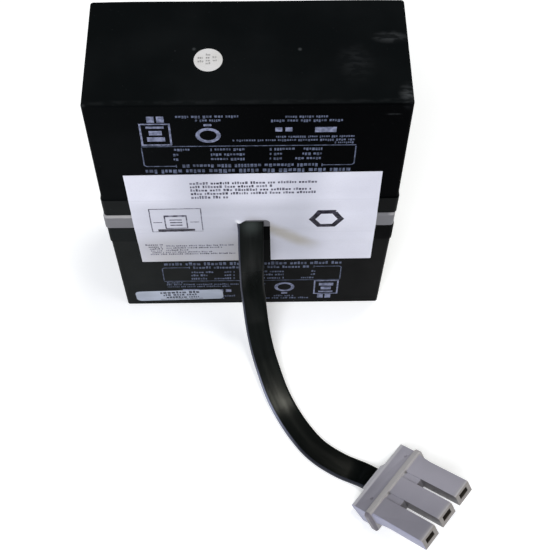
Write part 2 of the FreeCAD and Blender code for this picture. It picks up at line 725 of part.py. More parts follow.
# Flat cable: out of the carrier, down in front of the lower battery, along the floor
# and up into the hood. Its flat side faces the front and then the ceiling.
entry = Vector(cable_end, -size("entry_shift"), -size("slot_level"))
axis = turn.multVec(Vector(1, 0, 0))
cable_finish = connector_place.multVec(entry)
floor_z = size("cable_thick") / 2
rise = (cable_finish.z - floor_z) / axis.z
lift_off = cable_finish - axis * rise
level_axis = Vector(axis.x, axis.y, 0).normalize()
front = size("cable_front")
yaw = math.radians(size("cable_turn"))
fall_points = ((37.2, cable_z), (43.0, 92.2), (front, 78.5), (front, 51.5))  # distance to the front, height
swing_points = ((2.2, 36.5), (10.0, 18.5), (22.5, 6.0), (36.0, floor_z), (48.5, floor_z))  # turned way, height
floor_points = ((19.3, -101.0), (25.8, -111.9), (36.4, -122.9))
cable_route = [Vector(centre, core_start, cable_z)]
for away, height in fall_points:
    cable_route.append(Vector(centre, -away, height))
twist_at = len(cable_route) - 2
for away, height in swing_points:
    cable_route.append(Vector(centre + away * math.sin(yaw), -front - away * math.cos(yaw), height))
for x, y in floor_points:
    cable_route.append(Vector(x, y, floor_z))
cable_route += [lift_off - level_axis * rise * 0.8, lift_off, cable_finish]
half_w, half_t = size("cable_width") / 2, size("cable_thick") / 2
section = []
for x, z in ((half_w, half_t), (-half_w, half_t), (-half_w, -half_t), (half_w, -half_t)):
    section.append(cable_route[0] + Vector(x, 0, z))
cable_shape, cable_length = strip_along(cable_route, section, twist_at, size("cable_turn"))
new_solid("flat_cable", cable_shape)
section_area = size("cable_width") * size("cable_thick")
radii = [round(bend["radius"], 1) for bend in bends(cable_route)]
print("flat cable length", round(cable_length, 1), "radii", radii)
print("volume", round(cable_shape.Volume), "section times length", round(section_area * cable_length))


# Paper label over the joint, with an arched slot that the cable passes through.
def front_label(label):
    half_x, half_z = size("label_width") / 2, size("label_height") / 2
    half_slot, corner = size("label_slot") / 2, size("label_slot_corner")
    slot_top = size("label_slot_top") - size("label_z")
    slot_x = size("label_slot_x") - size("label_x")
    thick = size("label_thick")
    sheet_solid = Part.makeBox(2 * half_x, thick, 2 * half_z, Vector(-half_x, -thick, -half_z))
    slot = Part.makeBox(2 * half_slot, thick, slot_top + half_z, Vector(slot_x - half_slot, -thick, -half_z))
    crown = [edge for edge in slot.Edges if upright_y(edge) and edge.BoundBox.ZMin > slot_top - 0.01]
    slot = slot.makeFillet(corner, crown)
    sheet_solid = sheet_solid.cut(slot)
    feature = new_solid(label, sheet_solid)
    back_y = -size("lid_width") / 2 - size("carrier_overhang")
    feature.Placement = Placement(Vector(size("label_x"), back_y, size("label_z")),
                                  Rotation(Vector(0, 1, 0), -size("label_turn")))
    return feature


front_label("front_label")

# Round paper spot on the upper battery's end.
spot = doc.addObject("Part::Cylinder", "round_sticker")
spot.Label = "round_sticker"
bind(spot, "Radius", formula("round_sticker_dia / 2"))
bind(spot, "Height", formula("sticker_thick"))
spot.Placement = Placement(Vector(size("round_sticker_x"), size("round_sticker_y"), pack_height), Rotation())
nodes.append(spot)

# Silvered sticker low on the lower battery's front, lying on the drafted face.
slope = size("case_draft")
face_y = -size("case_width") / 2 - size("plain_sticker_z") * math.tan(math.radians(slope))
strip = doc.addObject("Part::Box", "plain_strip")
bind(strip, "Length", formula("plain_sticker_length"))
bind(strip, "Width", formula("sticker_thick"))
bind(strip, "Height", formula("plain_sticker_height"))
doc.recompute()
strip_round = doc.addObject("Part::Fillet", "plain_sticker")
strip_round.Base = strip
strip_round.Edges = [(i + 1, size("plain_sticker_corner"), size("plain_sticker_corner"))
                     for i, edge in enumerate(strip.Shape.Edges) if upright_y(edge)]
strip_round.Label = "plain_sticker"
doc.recompute()
tilt = Rotation(Vector(1, 0, 0), slope).multiply(Rotation(Vector(0, 1, 0), -size("plain_sticker_turn")))
half_sticker = Vector(size("plain_sticker_length") / 2, size("sticker_thick"), size("plain_sticker_height") / 2)
sticker_centre = Vector(size("plain_sticker_x"), face_y, size("plain_sticker_z"))
strip_round.Placement = Placement(sticker_centre - tilt.multVec(half_sticker), tilt)
nodes.append(strip_round)

doc.recompute()
for item in doc.Objects:
    if "Invalid" in item.State or "Error" in item.State:
        raise RuntimeError("failed object " + item.Name)
for node in nodes:
    if node.Shape.isNull() or not node.Shape.isValid():
        raise RuntimeError("bad shape " + node.Label)

os.makedirs("parts", exist_ok=True)
for node in nodes:
    node.Shape.exportStep(os.path.join("parts", node.Label + ".step"))
print(len(nodes), "nodes written")
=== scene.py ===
import json
import math
import random

import bmesh
import bpy
from mathutils import Matrix, Vector


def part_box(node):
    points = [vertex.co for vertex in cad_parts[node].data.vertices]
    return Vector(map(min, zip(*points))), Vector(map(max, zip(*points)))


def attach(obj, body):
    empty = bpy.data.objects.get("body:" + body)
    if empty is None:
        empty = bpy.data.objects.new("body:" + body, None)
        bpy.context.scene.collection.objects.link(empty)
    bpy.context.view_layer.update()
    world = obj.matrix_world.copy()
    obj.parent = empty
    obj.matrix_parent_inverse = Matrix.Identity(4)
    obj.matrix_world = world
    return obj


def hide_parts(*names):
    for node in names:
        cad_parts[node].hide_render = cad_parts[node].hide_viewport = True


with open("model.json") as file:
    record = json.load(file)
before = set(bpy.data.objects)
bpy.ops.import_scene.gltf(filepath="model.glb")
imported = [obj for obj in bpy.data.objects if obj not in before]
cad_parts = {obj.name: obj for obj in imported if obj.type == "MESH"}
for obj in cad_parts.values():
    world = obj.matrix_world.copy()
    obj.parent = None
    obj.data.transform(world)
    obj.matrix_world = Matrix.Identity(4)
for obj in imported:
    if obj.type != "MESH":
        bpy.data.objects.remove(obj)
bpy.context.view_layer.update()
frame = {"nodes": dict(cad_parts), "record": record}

nodes = frame["nodes"]
scene = bpy.context.scene
mm = 0.001
print("frame loaded:", len(nodes), "nodes")


# camera, from the pack's corners in the picture
cameraSet = {
    "place": (4.76, -323.22, 593.9),
    "right": (0.99984, -0.01656, 0.00663),
    "down": (-0.01051, -0.84717, -0.53122),
    "forward": (0.01442, 0.53106, -0.84721),
    "focal": 1086.0,  # pixels
    "middle": (275, 190),
    "image": 550,
    "sensor": 36.0,
}


def makeCamera(opts):
    data = bpy.data.cameras.new("photoCamera")
    data.sensor_width = opts["sensor"]
    data.lens = opts["focal"] / opts["image"] * opts["sensor"]
    data.shift_y = (opts["middle"][1] - opts["image"] / 2) / opts["image"]
    data.clip_start = 0.01
    camera = bpy.data.objects.new("photoCamera", data)
    right, down, forward = Vector(opts["right"]), Vector(opts["down"]), Vector(opts["forward"])
    turn = Matrix((right, -down, -forward)).transposed().to_4x4()
    camera.matrix_world = Matrix.Translation(Vector(opts["place"]) * mm) @ turn
    scene.collection.objects.link(camera)
    scene.camera = camera


makeCamera(cameraSet)


# material helpers

def startFinish(name, roughness, specular=0.5):
    finish = bpy.data.materials.new(name)
    finish.use_nodes = True
    tree = finish.node_tree
    shader = tree.nodes["Principled BSDF"]
    shader.inputs["Roughness"].default_value = roughness
    shader.inputs["Specular IOR Level"].default_value = specular
    place = tree.nodes.new("ShaderNodeTexCoord").outputs["Object"]
    return finish, tree, shader, place


def feed(tree, socket, value):
    if isinstance(value, bpy.types.NodeSocket):
        tree.links.new(value, socket)
    elif isinstance(value, tuple) and len(value) == 3 and socket.type == "RGBA":
        socket.default_value = (*value, 1.0)
    else:
        socket.default_value = value


def cloudy(tree, place, scale, detail=3.0, stretch=None, offset=(0, 0, 0)):
    if stretch or any(offset):
        mapping = tree.nodes.new("ShaderNodeMapping")
        mapping.inputs["Scale"].default_value = stretch or (1, 1, 1)
        mapping.inputs["Location"].default_value = offset
        tree.links.new(place, mapping.inputs["Vector"])
        place = mapping.outputs["Vector"]
    noise = tree.nodes.new("ShaderNodeTexNoise")
    noise.inputs["Scale"].default_value = scale
    noise.inputs["Detail"].default_value = detail
    tree.links.new(place, noise.inputs["Vector"])
    return noise.outputs["Fac"]


def ranged(tree, value, low, high, outLow=0.0, outHigh=1.0):
    node = tree.nodes.new("ShaderNodeMapRange")
    node.interpolation_type = "SMOOTHSTEP"
    for name, number in (("From Min", low), ("From Max", high), ("To Min", outLow), ("To Max", outHigh)):
        node.inputs[name].default_value = number
    tree.links.new(value, node.inputs["Value"])
    return node.outputs["Result"]


def maths(tree, operation, first, second=0.0):
    node = tree.nodes.new("ShaderNodeMath")
    node.operation = operation
    feed(tree, node.inputs[0], first)
    feed(tree, node.inputs[1], second)
    return node.outputs["Value"]


def blendColours(tree, factor, first, second):
    node = tree.nodes.new("ShaderNodeMix")
    node.data_type = "RGBA"
    feed(tree, node.inputs[0], factor)
    feed(tree, node.inputs[6], first)
    feed(tree, node.inputs[7], second)
    return node.outputs[2]


def axes(tree, place):
    node = tree.nodes.new("ShaderNodeSeparateXYZ")
    tree.links.new(place, node.inputs["Vector"])
    return node.outputs["X"], node.outputs["Y"], node.outputs["Z"]


def relief(tree, shader, height, depth, strength=1.0):
    node = tree.nodes.new("ShaderNodeBump")
    node.inputs["Strength"].default_value = strength
    node.inputs["Distance"].default_value = depth
    tree.links.new(height, node.inputs["Height"])
    tree.links.new(node.outputs["Normal"], shader.inputs["Normal"])


def roughen(tree, shader, source, low, high):
    tree.links.new(ranged(tree, source, 0.3, 0.7, low, high), shader.inputs["Roughness"])


# moulded plastic: fine spark grain, cloudy tone, a few dusty specks
def mouldedPlastic(name, colour, paler, dust, roughness, specular, grainScale=2600, grainDepth=0.00002):
    finish, tree, shader, place = startFinish(name, roughness, specular)
    tone = ranged(tree, cloudy(tree, place, 24, 4), 0.35, 0.7)
    base = blendColours(tree, tone, colour, paler)
    specks = ranged(tree, cloudy(tree, place, 900, 1), 0.74, 0.80)
    patches = ranged(tree, cloudy(tree, place, 35, 3, offset=(0.4, 0.1, 0.2)), 0.45, 0.7)
    dusty = maths(tree, "MULTIPLY", specks, patches)
    tree.links.new(blendColours(tree, dusty, base, dust), shader.inputs["Base Color"])
    roughen(tree, shader, cloudy(tree, place, 60, 3), roughness - 0.05, roughness + 0.07)
    relief(tree, shader, cloudy(tree, place, grainScale, 2), grainDepth, 0.5)
    return finish


# a soft blot round a point: rubbed wear on the case, and painted highlights and painted shadows on the cable, connector
# and label
def wearAndLightBlot(tree, place, centre, reach, stretch=(1, 1, 1)):
    mapping = tree.nodes.new("ShaderNodeMapping")
    mapping.vector_type = "TEXTURE"
    mapping.inputs["Location"].default_value = [c * mm for c in centre]
    mapping.inputs["Scale"].default_value = stretch
    tree.links.new(place, mapping.inputs["Vector"])
    length = tree.nodes.new("ShaderNodeVectorMath")
    length.operation = "LENGTH"
    tree.links.new(mapping.outputs["Vector"], length.inputs[0])
    return ranged(tree, length.outputs["Value"], 0.0, reach * mm, 1.0, 0.0)


caseSet = {
    "black": (0.00365, 0.00446, 0.00486),
    "paler": (0.00581, 0.00675, 0.00729),
    "dust": (0.0405, 0.0432, 0.0459),
    "roughness": 0.38,
    "specular": {"upper": 0.0036, "lower": 0.0156, "lid": 0.0168, "lowerLid": 0.0075},
    "lowerBlack": (0.00675, 0.00837, 0.00837),
    "lowerPaler": (0.0116, 0.0132, 0.013),
    "lidBlack": (0.00405, 0.005, 0.00526),
    "lidPaler": (0.00743, 0.00864, 0.00891),
    "lowerLidBlack": (0.0059, 0.0072, 0.0076),
    "lowerLidPaler": (0.0108, 0.0125, 0.0129),
    "frontShade": (0.00081, 0.00094, 0.00122),  # painted shade: the front face goes blacker from left to right
    "frontShadeSpan": {"upper": (0.35, 0.95), "lower": (0.0, 0.95), "lid": (0.0, 0.7), "lowerLid": (0.0, 1.0)},
    "scuffs": [  # place in mm, reach in mm, stretch, strength
        ((67.5, 7.9, 200), 12, (1.0, 0.4, 1), 0.8), ((73.0, -25.5, 200), 8, (0.7, 1, 1), 1.0),
        ((50, -7, 200), 11, (1, 1.3, 1), 0.2), ((66.5, -31.5, 192.6), 3, (1.6, 1, 0.3), 0.7),
        ((-74.3, -30.6, 199.6), 1.6, (1, 1, 1), 0.8),
    ],
    "specks": [((-25.0, 1.6, 200), 1.3), ((24.4, 1.0, 200), 1.35)],
    "rim": (-29.2, 1.9, 0.13),  # middle, reach and strength of the painted highlight along the top's front edge
}


def casePlastic(opts, name, black, paler, which):
    finish = mouldedPlastic(name, black, paler, opts["dust"], opts["roughness"], opts["specular"][which])
    tree = finish.node_tree
    shader = tree.nodes["Principled BSDF"]
    place = [n for n in tree.nodes if n.bl_idname == "ShaderNodeTexCoord"][0].outputs["Object"]
    x, y, z = axes(tree, place)
    # painted shade on the front face, growing from left to right
    front = ranged(tree, y, -30.2 * mm, -31.0 * mm)
    frontShadeMask = maths(tree, "MULTIPLY", front, ranged(tree, x, -75 * mm, 20 * mm, *opts["frontShadeSpan"][which]))
    base = shader.inputs["Base Color"].links[0].from_socket
    tree.links.new(blendColours(tree, frontShadeMask, base, opts["frontShade"]), shader.inputs["Base Color"])
    if which != "upper":
        return finish
    # painted highlight along the top's front edge, then rubbed scuffs and specks of wear on the top
    middle, reach, strength = opts["rim"]
    off = maths(tree, "ABSOLUTE", maths(tree, "SUBTRACT", y, middle * mm))
    streaks = ranged(tree, cloudy(tree, place, 420, 6, stretch=(0.35, 1, 1)), 0.42, 0.6, 0.15, 1.0)
    wearAndEdgeHighlight = maths(tree, "MULTIPLY", ranged(tree, off, reach * mm, 0.0, 0.0, strength),
                   ranged(tree, z, 199.0 * mm, 199.6 * mm))
    wearAndEdgeHighlight = maths(tree, "MULTIPLY", wearAndEdgeHighlight, streaks)
    for centre, reach, stretch, strength in opts["scuffs"]:
        spot = maths(tree, "MULTIPLY", wearAndLightBlot(tree, place, centre, reach, stretch), strength)
        wearAndEdgeHighlight = maths(tree, "MAXIMUM", wearAndEdgeHighlight, maths(tree, "MULTIPLY", spot, streaks))
    for centre, reach in opts["specks"]:
        wearAndEdgeHighlight = maths(tree, "MAXIMUM", wearAndEdgeHighlight, wearAndLightBlot(tree, place, centre, reach))
    base = shader.inputs["Base Color"].links[0].from_socket
    tree.links.new(blendColours(tree, wearAndEdgeHighlight, base, opts["dust"]), shader.inputs["Base Color"])
    return finish


upperCasePlastic = casePlastic(caseSet, "upperCasePlastic", caseSet["black"], caseSet["paler"], "upper")
lowerCasePlastic = casePlastic(caseSet, "lowerCasePlastic", caseSet["lowerBlack"], caseSet["lowerPaler"], "lower")
lidPlastic = casePlastic(caseSet, "lidPlastic", caseSet["lidBlack"], caseSet["lidPaler"], "lid")
lowerLidPlastic = casePlastic(
    caseSet, "lowerLidPlastic", caseSet["lowerLidBlack"], caseSet["lowerLidPaler"], "lowerLid")

carrierSet = {
    "grey": (0.135, 0.134, 0.146), "paler": (0.169, 0.167, 0.181), "dust": (0.32, 0.32, 0.34),
    "roughness": 0.5, "specular": 0.27,
    # colour, level and reach of the painted highlight along the upper edge
    "edge": (0.405, 0.392, 0.392), "edgeLevel": 105.3, "edgeReach": 0.7,
    "edgeFade": (-20, 62, 0.93, 0.15),  # the painted edge highlight goes dim to the right
    "cornerFrom": (70.5, 74.5, 0.0, 0.75),
}
carrierPlastic = mouldedPlastic(
    "carrierPlastic", carrierSet["grey"], carrierSet["paler"], carrierSet["dust"],
    carrierSet["roughness"], carrierSet["specular"])


# painted highlight along the rim's upper edge, dimmer to the right and brighter again at the right-hand corner
def paintEdgeHighlight(finish, opts):
    level, reach = opts["edgeLevel"], opts["edgeReach"]
    tree = finish.node_tree
    shader = tree.nodes["Principled BSDF"]
    place = [n for n in tree.nodes if n.bl_idname == "ShaderNodeTexCoord"][0].outputs["Object"]
    x, y, z = axes(tree, place)
    ragged = maths(tree, "MULTIPLY", maths(tree, "SUBTRACT", cloudy(tree, place, 160, 3), 0.5), reach * 0.6 * mm)
    edge = ranged(tree, maths(tree, "ADD", z, ragged), (level - reach) * mm, level * mm)
    spans = [(low * mm, high * mm, dim, full) for low, high, dim, full in (opts["edgeFade"], opts["cornerFrom"])]
    fade = maths(tree, "MAXIMUM", *(ranged(tree, x, *span) for span in spans))
    base = shader.inputs["Base Color"].links[0].from_socket
    edge = maths(tree, "MULTIPLY", edge, fade)
    tree.links.new(blendColours(tree, edge, base, opts["edge"]), shader.inputs["Base Color"])


paintEdgeHighlight(carrierPlastic, carrierSet)


def simpleFinish(name, colour, paler, roughness, metallic, scale, depth):
    finish, tree, shader, place = startFinish(name, roughness)
    shader.inputs["Metallic"].default_value = metallic
    tone = ranged(tree, cloudy(tree, place, scale, 4), 0.3, 0.7)
    tree.links.new(blendColours(tree, tone, colour, paler), shader.inputs["Base Color"])
    roughen(tree, shader, cloudy(tree, place, scale * 2, 3), roughness - 0.06, roughness + 0.08)
    relief(tree, shader, cloudy(tree, place, scale * 8, 3), depth, 0.6)
    return finish


innerFinishes = {
    "lead": simpleFinish("castLead", (0.20, 0.21, 0.23), (0.31, 0.32, 0.34), 0.55, 0.9, 90, 0.0001),
    "glass_mat": simpleFinish("glassMat", (0.72, 0.72, 0.69), (0.86, 0.86, 0.84), 0.9, 0.0, 400, 0.0001),
    "tinned_brass": simpleFinish("tinnedBrass", (0.60, 0.57, 0.50), (0.74, 0.71, 0.65), 0.3, 1.0, 300, 0.00002),
    "valve_rubber": simpleFinish("valveRubber", (0.012, 0.012, 0.012), (0.03, 0.03, 0.03), 0.75, 0.0, 300, 0.00005),
    "seal_resin": simpleFinish("sealResin", (0.02, 0.02, 0.022), (0.04, 0.04, 0.042), 0.25, 0.0, 120, 0.00005),
    "lead_insulation": simpleFinish("leadInsulation", (0.012, 0.012, 0.013), (0.025, 0.025, 0.026), 0.5, 0.0, 250, 0.00003),
    "copper_strand": simpleFinish("copperStrand", (0.55, 0.25, 0.13), (0.72, 0.38, 0.22), 0.35, 1.0, 500, 0.00008),
}
slotOf = {row["node"]: row["material_slot"] for row in frame["record"]["subparts"]}


def dressNode(name, finish):
    slots = nodes[name].data.materials
    slots.clear()
    slots.append(finish)


for name in nodes:
    if slotOf[name] in innerFinishes:
        dressNode(name, innerFinishes[slotOf[name]])
dressNode("upper_case", upperCasePlastic)
dressNode("lower_case", lowerCasePlastic)
for name in ("upper_lid", "upper_vent_cover", "lower_vent_cover"):
    dressNode(name, lidPlastic)
dressNode("lower_lid", lowerLidPlastic)
dressNode("terminal_carrier", carrierPlastic)
print("nodes dressed")


# piece helpers

def addPiece(name, bm, finish):
    mesh = bpy.data.meshes.new(name)
    bm.to_mesh(mesh)
    bm.free()
    piece = bpy.data.objects.new(name, mesh)
    scene.collection.objects.link(piece)
    mesh.materials.append(finish)
    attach(piece, "root")
    return piece


def nodeCopy(name):
    bm = bmesh.new()
    bm.from_mesh(nodes[name].data)
    bmesh.ops.remove_doubles(bm, verts=bm.verts, dist=1e-6)
    bmesh.ops.dissolve_limit(bm, angle_limit=math.radians(0.4), verts=bm.verts, edges=bm.edges)
    return bm


def smoothShade(piece, angle):
    piece.data.polygons.foreach_set("use_smooth", [True] * len(piece.data.polygons))
    for edge in piece.data.edges:
        edge.use_edge_sharp = False
    bm = bmesh.new()
    bm.from_mesh(piece.data)
    for edge in bm.edges:
        edge.smooth = len(edge.link_faces) == 2 and edge.calc_face_angle() < math.radians(angle)
    bm.to_mesh(piece.data)
    bm.free()


# flat cable: its line first, then a strip with soft edges
cableSet = {
    "width": 13.5, "thick": 4.2, "edge": 1.1, "keep": 0.3, "uvWide": 0.035,
    "route": [
        (0.0, -27.2, 98.0), (0.0, -37.2, 98.0), (0.0, -43.0, 92.2), (0.0, -44.8, 78.5), (0.0, -44.8, 51.5),
        (1.0, -46.9, 36.5), (2.5, -54.4, 18.7), (5.3, -66.3, 9.6), (9.3, -79.1, 6.3),
        (13.4, -91.0, 3.9), (18.4, -101.2, 2.4), (24.9, -112.2, 2.1), (34.6, -124.7, 2.1),
        (48.0, -133.5, 2.1), (57.0, -137.2, 2.1), (62.5, -140.3, 3.9), (67.97, -145.11, 8.08),
    ],
    "length": 0.216,
    # painted light on the left side: its pale bluish colour, dimmer towards the connector
    "black": (0.00189, 0.00243, 0.0023), "paler": (0.00702, 0.00824, 0.0077), "side": (0.0675, 0.0716, 0.0972), "sideDim": (0.027, 0.0286, 0.0389), "dimFrom": (14, 30),
    # painted highlight where the strip bends out of the slot: its colour, middle and reach
    "bend": (0.0419, 0.05, 0.0459), "crestHighlightAt": (0, -34.5, 100.1), "crestHighlightReach": 8.0, "palerTo": (0.185, 0.12),
    "roughness": 0.175, "specular": 0.05, "dullFrom": (60, 88), "dull": 0.35,  # duller up where it leaves the slot
    "glint": (0.257, 0.27, 0.365), "glintAt": (10, -95, 4), "glintReach": 34,  # the left side shines midway
    "crown": (0.2333, 0.1), "crownShine": (0.36, 1.12),  # less shine away from the strip's middle
}


def cableLine(opts):
    curve = bpy.data.curves.new("cableLine", "CURVE")
    curve.dimensions = "3D"
    curve.resolution_u = 10
    spline = curve.splines.new("NURBS")
    spline.points.add(len(opts["route"]) - 1)
    for point, place in zip(spline.points, opts["route"]):
        point.co = (*(Vector(place) * mm), 1.0)
    spline.order_u = 3
    spline.use_endpoint_u = True
    holder = bpy.data.objects.new("cableLine", curve)
    scene.collection.objects.link(holder)
    bpy.context.view_layer.update()
    mesh = bpy.data.meshes.new_from_object(holder.evaluated_get(bpy.context.evaluated_depsgraph_get()))
    points = [v.co.copy() for v in mesh.vertices]
    bpy.data.objects.remove(holder)
    bpy.data.curves.remove(curve)
    bpy.data.meshes.remove(mesh)
    return points


# which way the strip's width points: level all along, turning with the line's heading
def cableFrames(points):
    tangents = []
    for index in range(len(points)):
        ahead = points[min(index + 1, len(points) - 1)]
        behind = points[max(index - 1, 0)]
        tangents.append((ahead - behind).normalized())
    known = {}
    for index, tangent in enumerate(tangents):
        if math.hypot(tangent.x, tangent.y) > 0.45:
            known[index] = math.atan2(tangent.x, -tangent.y)
    places = sorted(known)
    frames = []
    for index, tangent in enumerate(tangents):
        before = max((p for p in places if p <= index), default=places[0])
        after = min((p for p in places if p >= index), default=places[-1])
        part = (index - before) / (after - before) if after > before else 0.0
        heading = known[before] + (known[after] - known[before]) * part
        width = Vector((math.cos(heading), math.sin(heading), 0))
        width = (width - tangent * width.dot(tangent)).normalized()
        frames.append((width, tangent.cross(width).normalized()))
    return frames


# across, up and how far round to the left side, for each point of the section
def stripSection(opts):
    half, thick, edge = opts["width"] / 2, opts["thick"] / 2, opts["edge"]
    section = []
    corners = [(1, thick, (0, 22, 45, 68, 90)), (-1, thick, (90, 112, 135, 158, 180)),
               (-1, -thick, (180, 202, 225, 248, 270)), (1, -thick, (270, 292, 315, 338, 360))]
    for hand, level, angles in corners:
        for angle in (math.radians(a) for a in angles):
            section.append((hand * (half - edge) + edge * math.cos(angle),
                            level - math.copysign(edge, level) + edge * math.sin(angle), max(-math.cos(angle), 0.0)))
        if hand * level > 0:  # points that keep the flat between two corners flat
            inner = half - edge - opts["keep"]
            section += [(hand * inner * (1 - step / 2), level, 0.0) for step in range(5)]
    return section


def makeCable(opts, finish):
    points = cableLine(opts)
    frames = cableFrames(points)
    section = stripSection(opts)
    bm = bmesh.new()
    along = bm.verts.layers.float.new("along")
    across = bm.verts.layers.float.new("across")
    side = bm.verts.layers.float.new("side")
    rim = [bm.verts.new() for _ in section]
    edges = [bm.edges.new((rim[i], rim[(i + 1) % len(rim)])) for i in range(len(rim))]

    def setRing(ring, index, distance):
        width, up = frames[index]
        for number, (vert, (x, z, turned)) in enumerate(zip(ring, section)):
            vert.co = points[index] + (width * x + up * z) * mm
            vert[along] = distance
            vert[across] = number / len(section)
            vert[side] = turned

    setRing(rim, 0, 0.0)
    bm.faces.new(rim)
    distance = 0.0
    for index in range(1, len(points)):
        grown = bmesh.ops.extrude_edge_only(bm, edges=edges)["geom"]
        fresh = {g for g in grown if isinstance(g, bmesh.types.BMVert)}
        ring = []
        for vert in rim:
            ring += [e.other_vert(vert) for e in vert.link_edges if e.other_vert(vert) in fresh]
        distance += (points[index] - points[index - 1]).length
        setRing(ring, index, distance)
        edges = [bm.edges.get((ring[i], ring[(i + 1) % len(ring)])) for i in range(len(ring))]
        rim = ring
    bm.faces.new(rim)
    bmesh.ops.recalc_face_normals(bm, faces=bm.faces)
    uv = bm.loops.layers.uv.new("strip")
    for face in bm.faces:
        for loop in face.loops:
            loop[uv].uv = (loop.vert[along], loop.vert[across] * opts["uvWide"])
    piece = addPiece("flatCable", bm, finish)
    smoothShade(piece, 40)
    return piece, points, distance


# soft jacket: drawn lines along its length, cloudy bloom, a painted highlight where it bends out of the slot, and
# painted light on its left side
def cableFinish(opts):
    finish, tree, shader, place = startFinish("cableJacket", opts["roughness"], opts["specular"])
    strip = tree.nodes.new("ShaderNodeUVMap")
    strip.uv_map = "strip"
    drawn = cloudy(tree, strip.outputs["UV"], 700, 2, stretch=(0.04, 1, 1))
    bloom = cloudy(tree, place, 45, 4)
    tone = maths(tree, "MULTIPLY", ranged(tree, drawn, 0.3, 0.7, 0.7, 1.0), ranged(tree, bloom, 0.25, 0.55, 0.8, 1.0))
    along, across, none = axes(tree, strip.outputs["UV"])
    tone = maths(tree, "MULTIPLY", tone, ranged(tree, along, *opts["palerTo"]))
    side = tree.nodes.new("ShaderNodeAttribute")
    side.attribute_name = "side"
    # painted light: the left side takes a pale bluish tone, with a painted glint midway, dimmer towards the connector
    wearAndLitSide = maths(tree, "MULTIPLY", ranged(tree, side.outputs["Fac"], 0.02, 0.5), ranged(tree, bloom, 0.2, 0.55, 0.7, 1.0))
    base = blendColours(tree, tone, opts["black"], opts["paler"])
    # painted highlight where the strip bends out of the slot
    base = blendColours(tree, wearAndLightBlot(tree, place, opts["crestHighlightAt"], opts["crestHighlightReach"]), base, opts["bend"])
    glint = wearAndLightBlot(tree, place, opts["glintAt"], opts["glintReach"])
    x, y, z = axes(tree, place)
    dimmer = ranged(tree, x, *(reach * mm for reach in opts["dimFrom"]))
    sideTone = blendColours(tree, glint, blendColours(tree, dimmer, opts["side"], opts["sideDim"]), opts["glint"])
    tree.links.new(blendColours(tree, wearAndLitSide, base, sideTone), shader.inputs["Base Color"])
    crown, half = (part * opts["uvWide"] for part in opts["crown"])
    off = maths(tree, "ABSOLUTE", maths(tree, "SUBTRACT", across, crown))
    shine = maths(tree, "MULTIPLY", ranged(tree, off, half, 0.0, *opts["crownShine"]), ranged(tree, drawn, 0.36, 0.64, 0.62, 1.2))
    tree.links.new(maths(tree, "MULTIPLY", shine, opts["specular"]), shader.inputs["Specular IOR Level"])
    dull = ranged(tree, z, *(level * mm for level in opts["dullFrom"]), 0.0, opts["dull"])
    rough = ranged(tree, bloom, 0.3, 0.7, opts["roughness"] - 0.02, opts["roughness"] + 0.03)
    tree.links.new(maths(tree, "ADD", rough, dull), shader.inputs["Roughness"])
    relief(tree, shader, drawn, 0.00002, 0.5)
    return finish


flatCable, cablePoints, cableLength = makeCable(cableSet, cableFinish(cableSet))
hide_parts("flat_cable")
print("cable length", round(cableLength, 4))


# connector: the moulding's edges softened, painted shade that makes it greyer towards the far finger, a warmer rim, and
# painted light and shade on its faces, gaps and slots
connectorSet = {
    "edge": 0.35, "hoodEdge": 0.4, "sharp": 40,
    "origin": (75.9, -148.3, 16.76), "along": (0.6526, -0.5693, 0.5), "across": (0.6574, 0.7536, 0.0),
    "up": (-0.3768, 0.3287, 0.8660),
    "grey": (0.216, 0.207, 0.24), "pale": (0.327, 0.313, 0.358), "rim": (0.398, 0.378, 0.365),
    # colours for painted shade on the finger end faces, gap walls, finger roots and slots, a painted highlight on the
    # hood's rear edge, painted light on the left faces and painted shade on the flange's low end
    "tip": (0.235, 0.214, 0.198), "paintedShadeColour": (0.0743, 0.0675, 0.0648), "hole": (0.0162, 0.0121, 0.0081), "bevel": (0.499, 0.486, 0.513),
    "leftSideLight": (0.338, 0.338, 0.446), "lowEndShade": (0.115, 0.101, 0.128),
    "pitch": 14.85, "slotHalf": 3.3, "slotLevel": -3.5, "slotRise": 2.0, "gapHalf": 1.95, "web": 10.5,
    "rootShadows": [((82.4, -142.0, 16.4), 1.7), ((72.6, -153.3, 16.4), 1.7), ((83.2, -132.3, 13.9), 1.1), ((63.2, -155.2, 13.9), 1.1)],
    "roughness": 0.45, "specular": 0.4,
}


def alongAxis(tree, place, origin, axis):
    shift = tree.nodes.new("ShaderNodeVectorMath")
    shift.operation = "SUBTRACT"
    tree.links.new(place, shift.inputs[0])
    shift.inputs[1].default_value = [c * mm for c in origin]
    dot = tree.nodes.new("ShaderNodeVectorMath")
    dot.operation = "DOT_PRODUCT"
    tree.links.new(shift.outputs["Vector"], dot.inputs[0])
    dot.inputs[1].default_value = axis
    return dot.outputs["Value"]


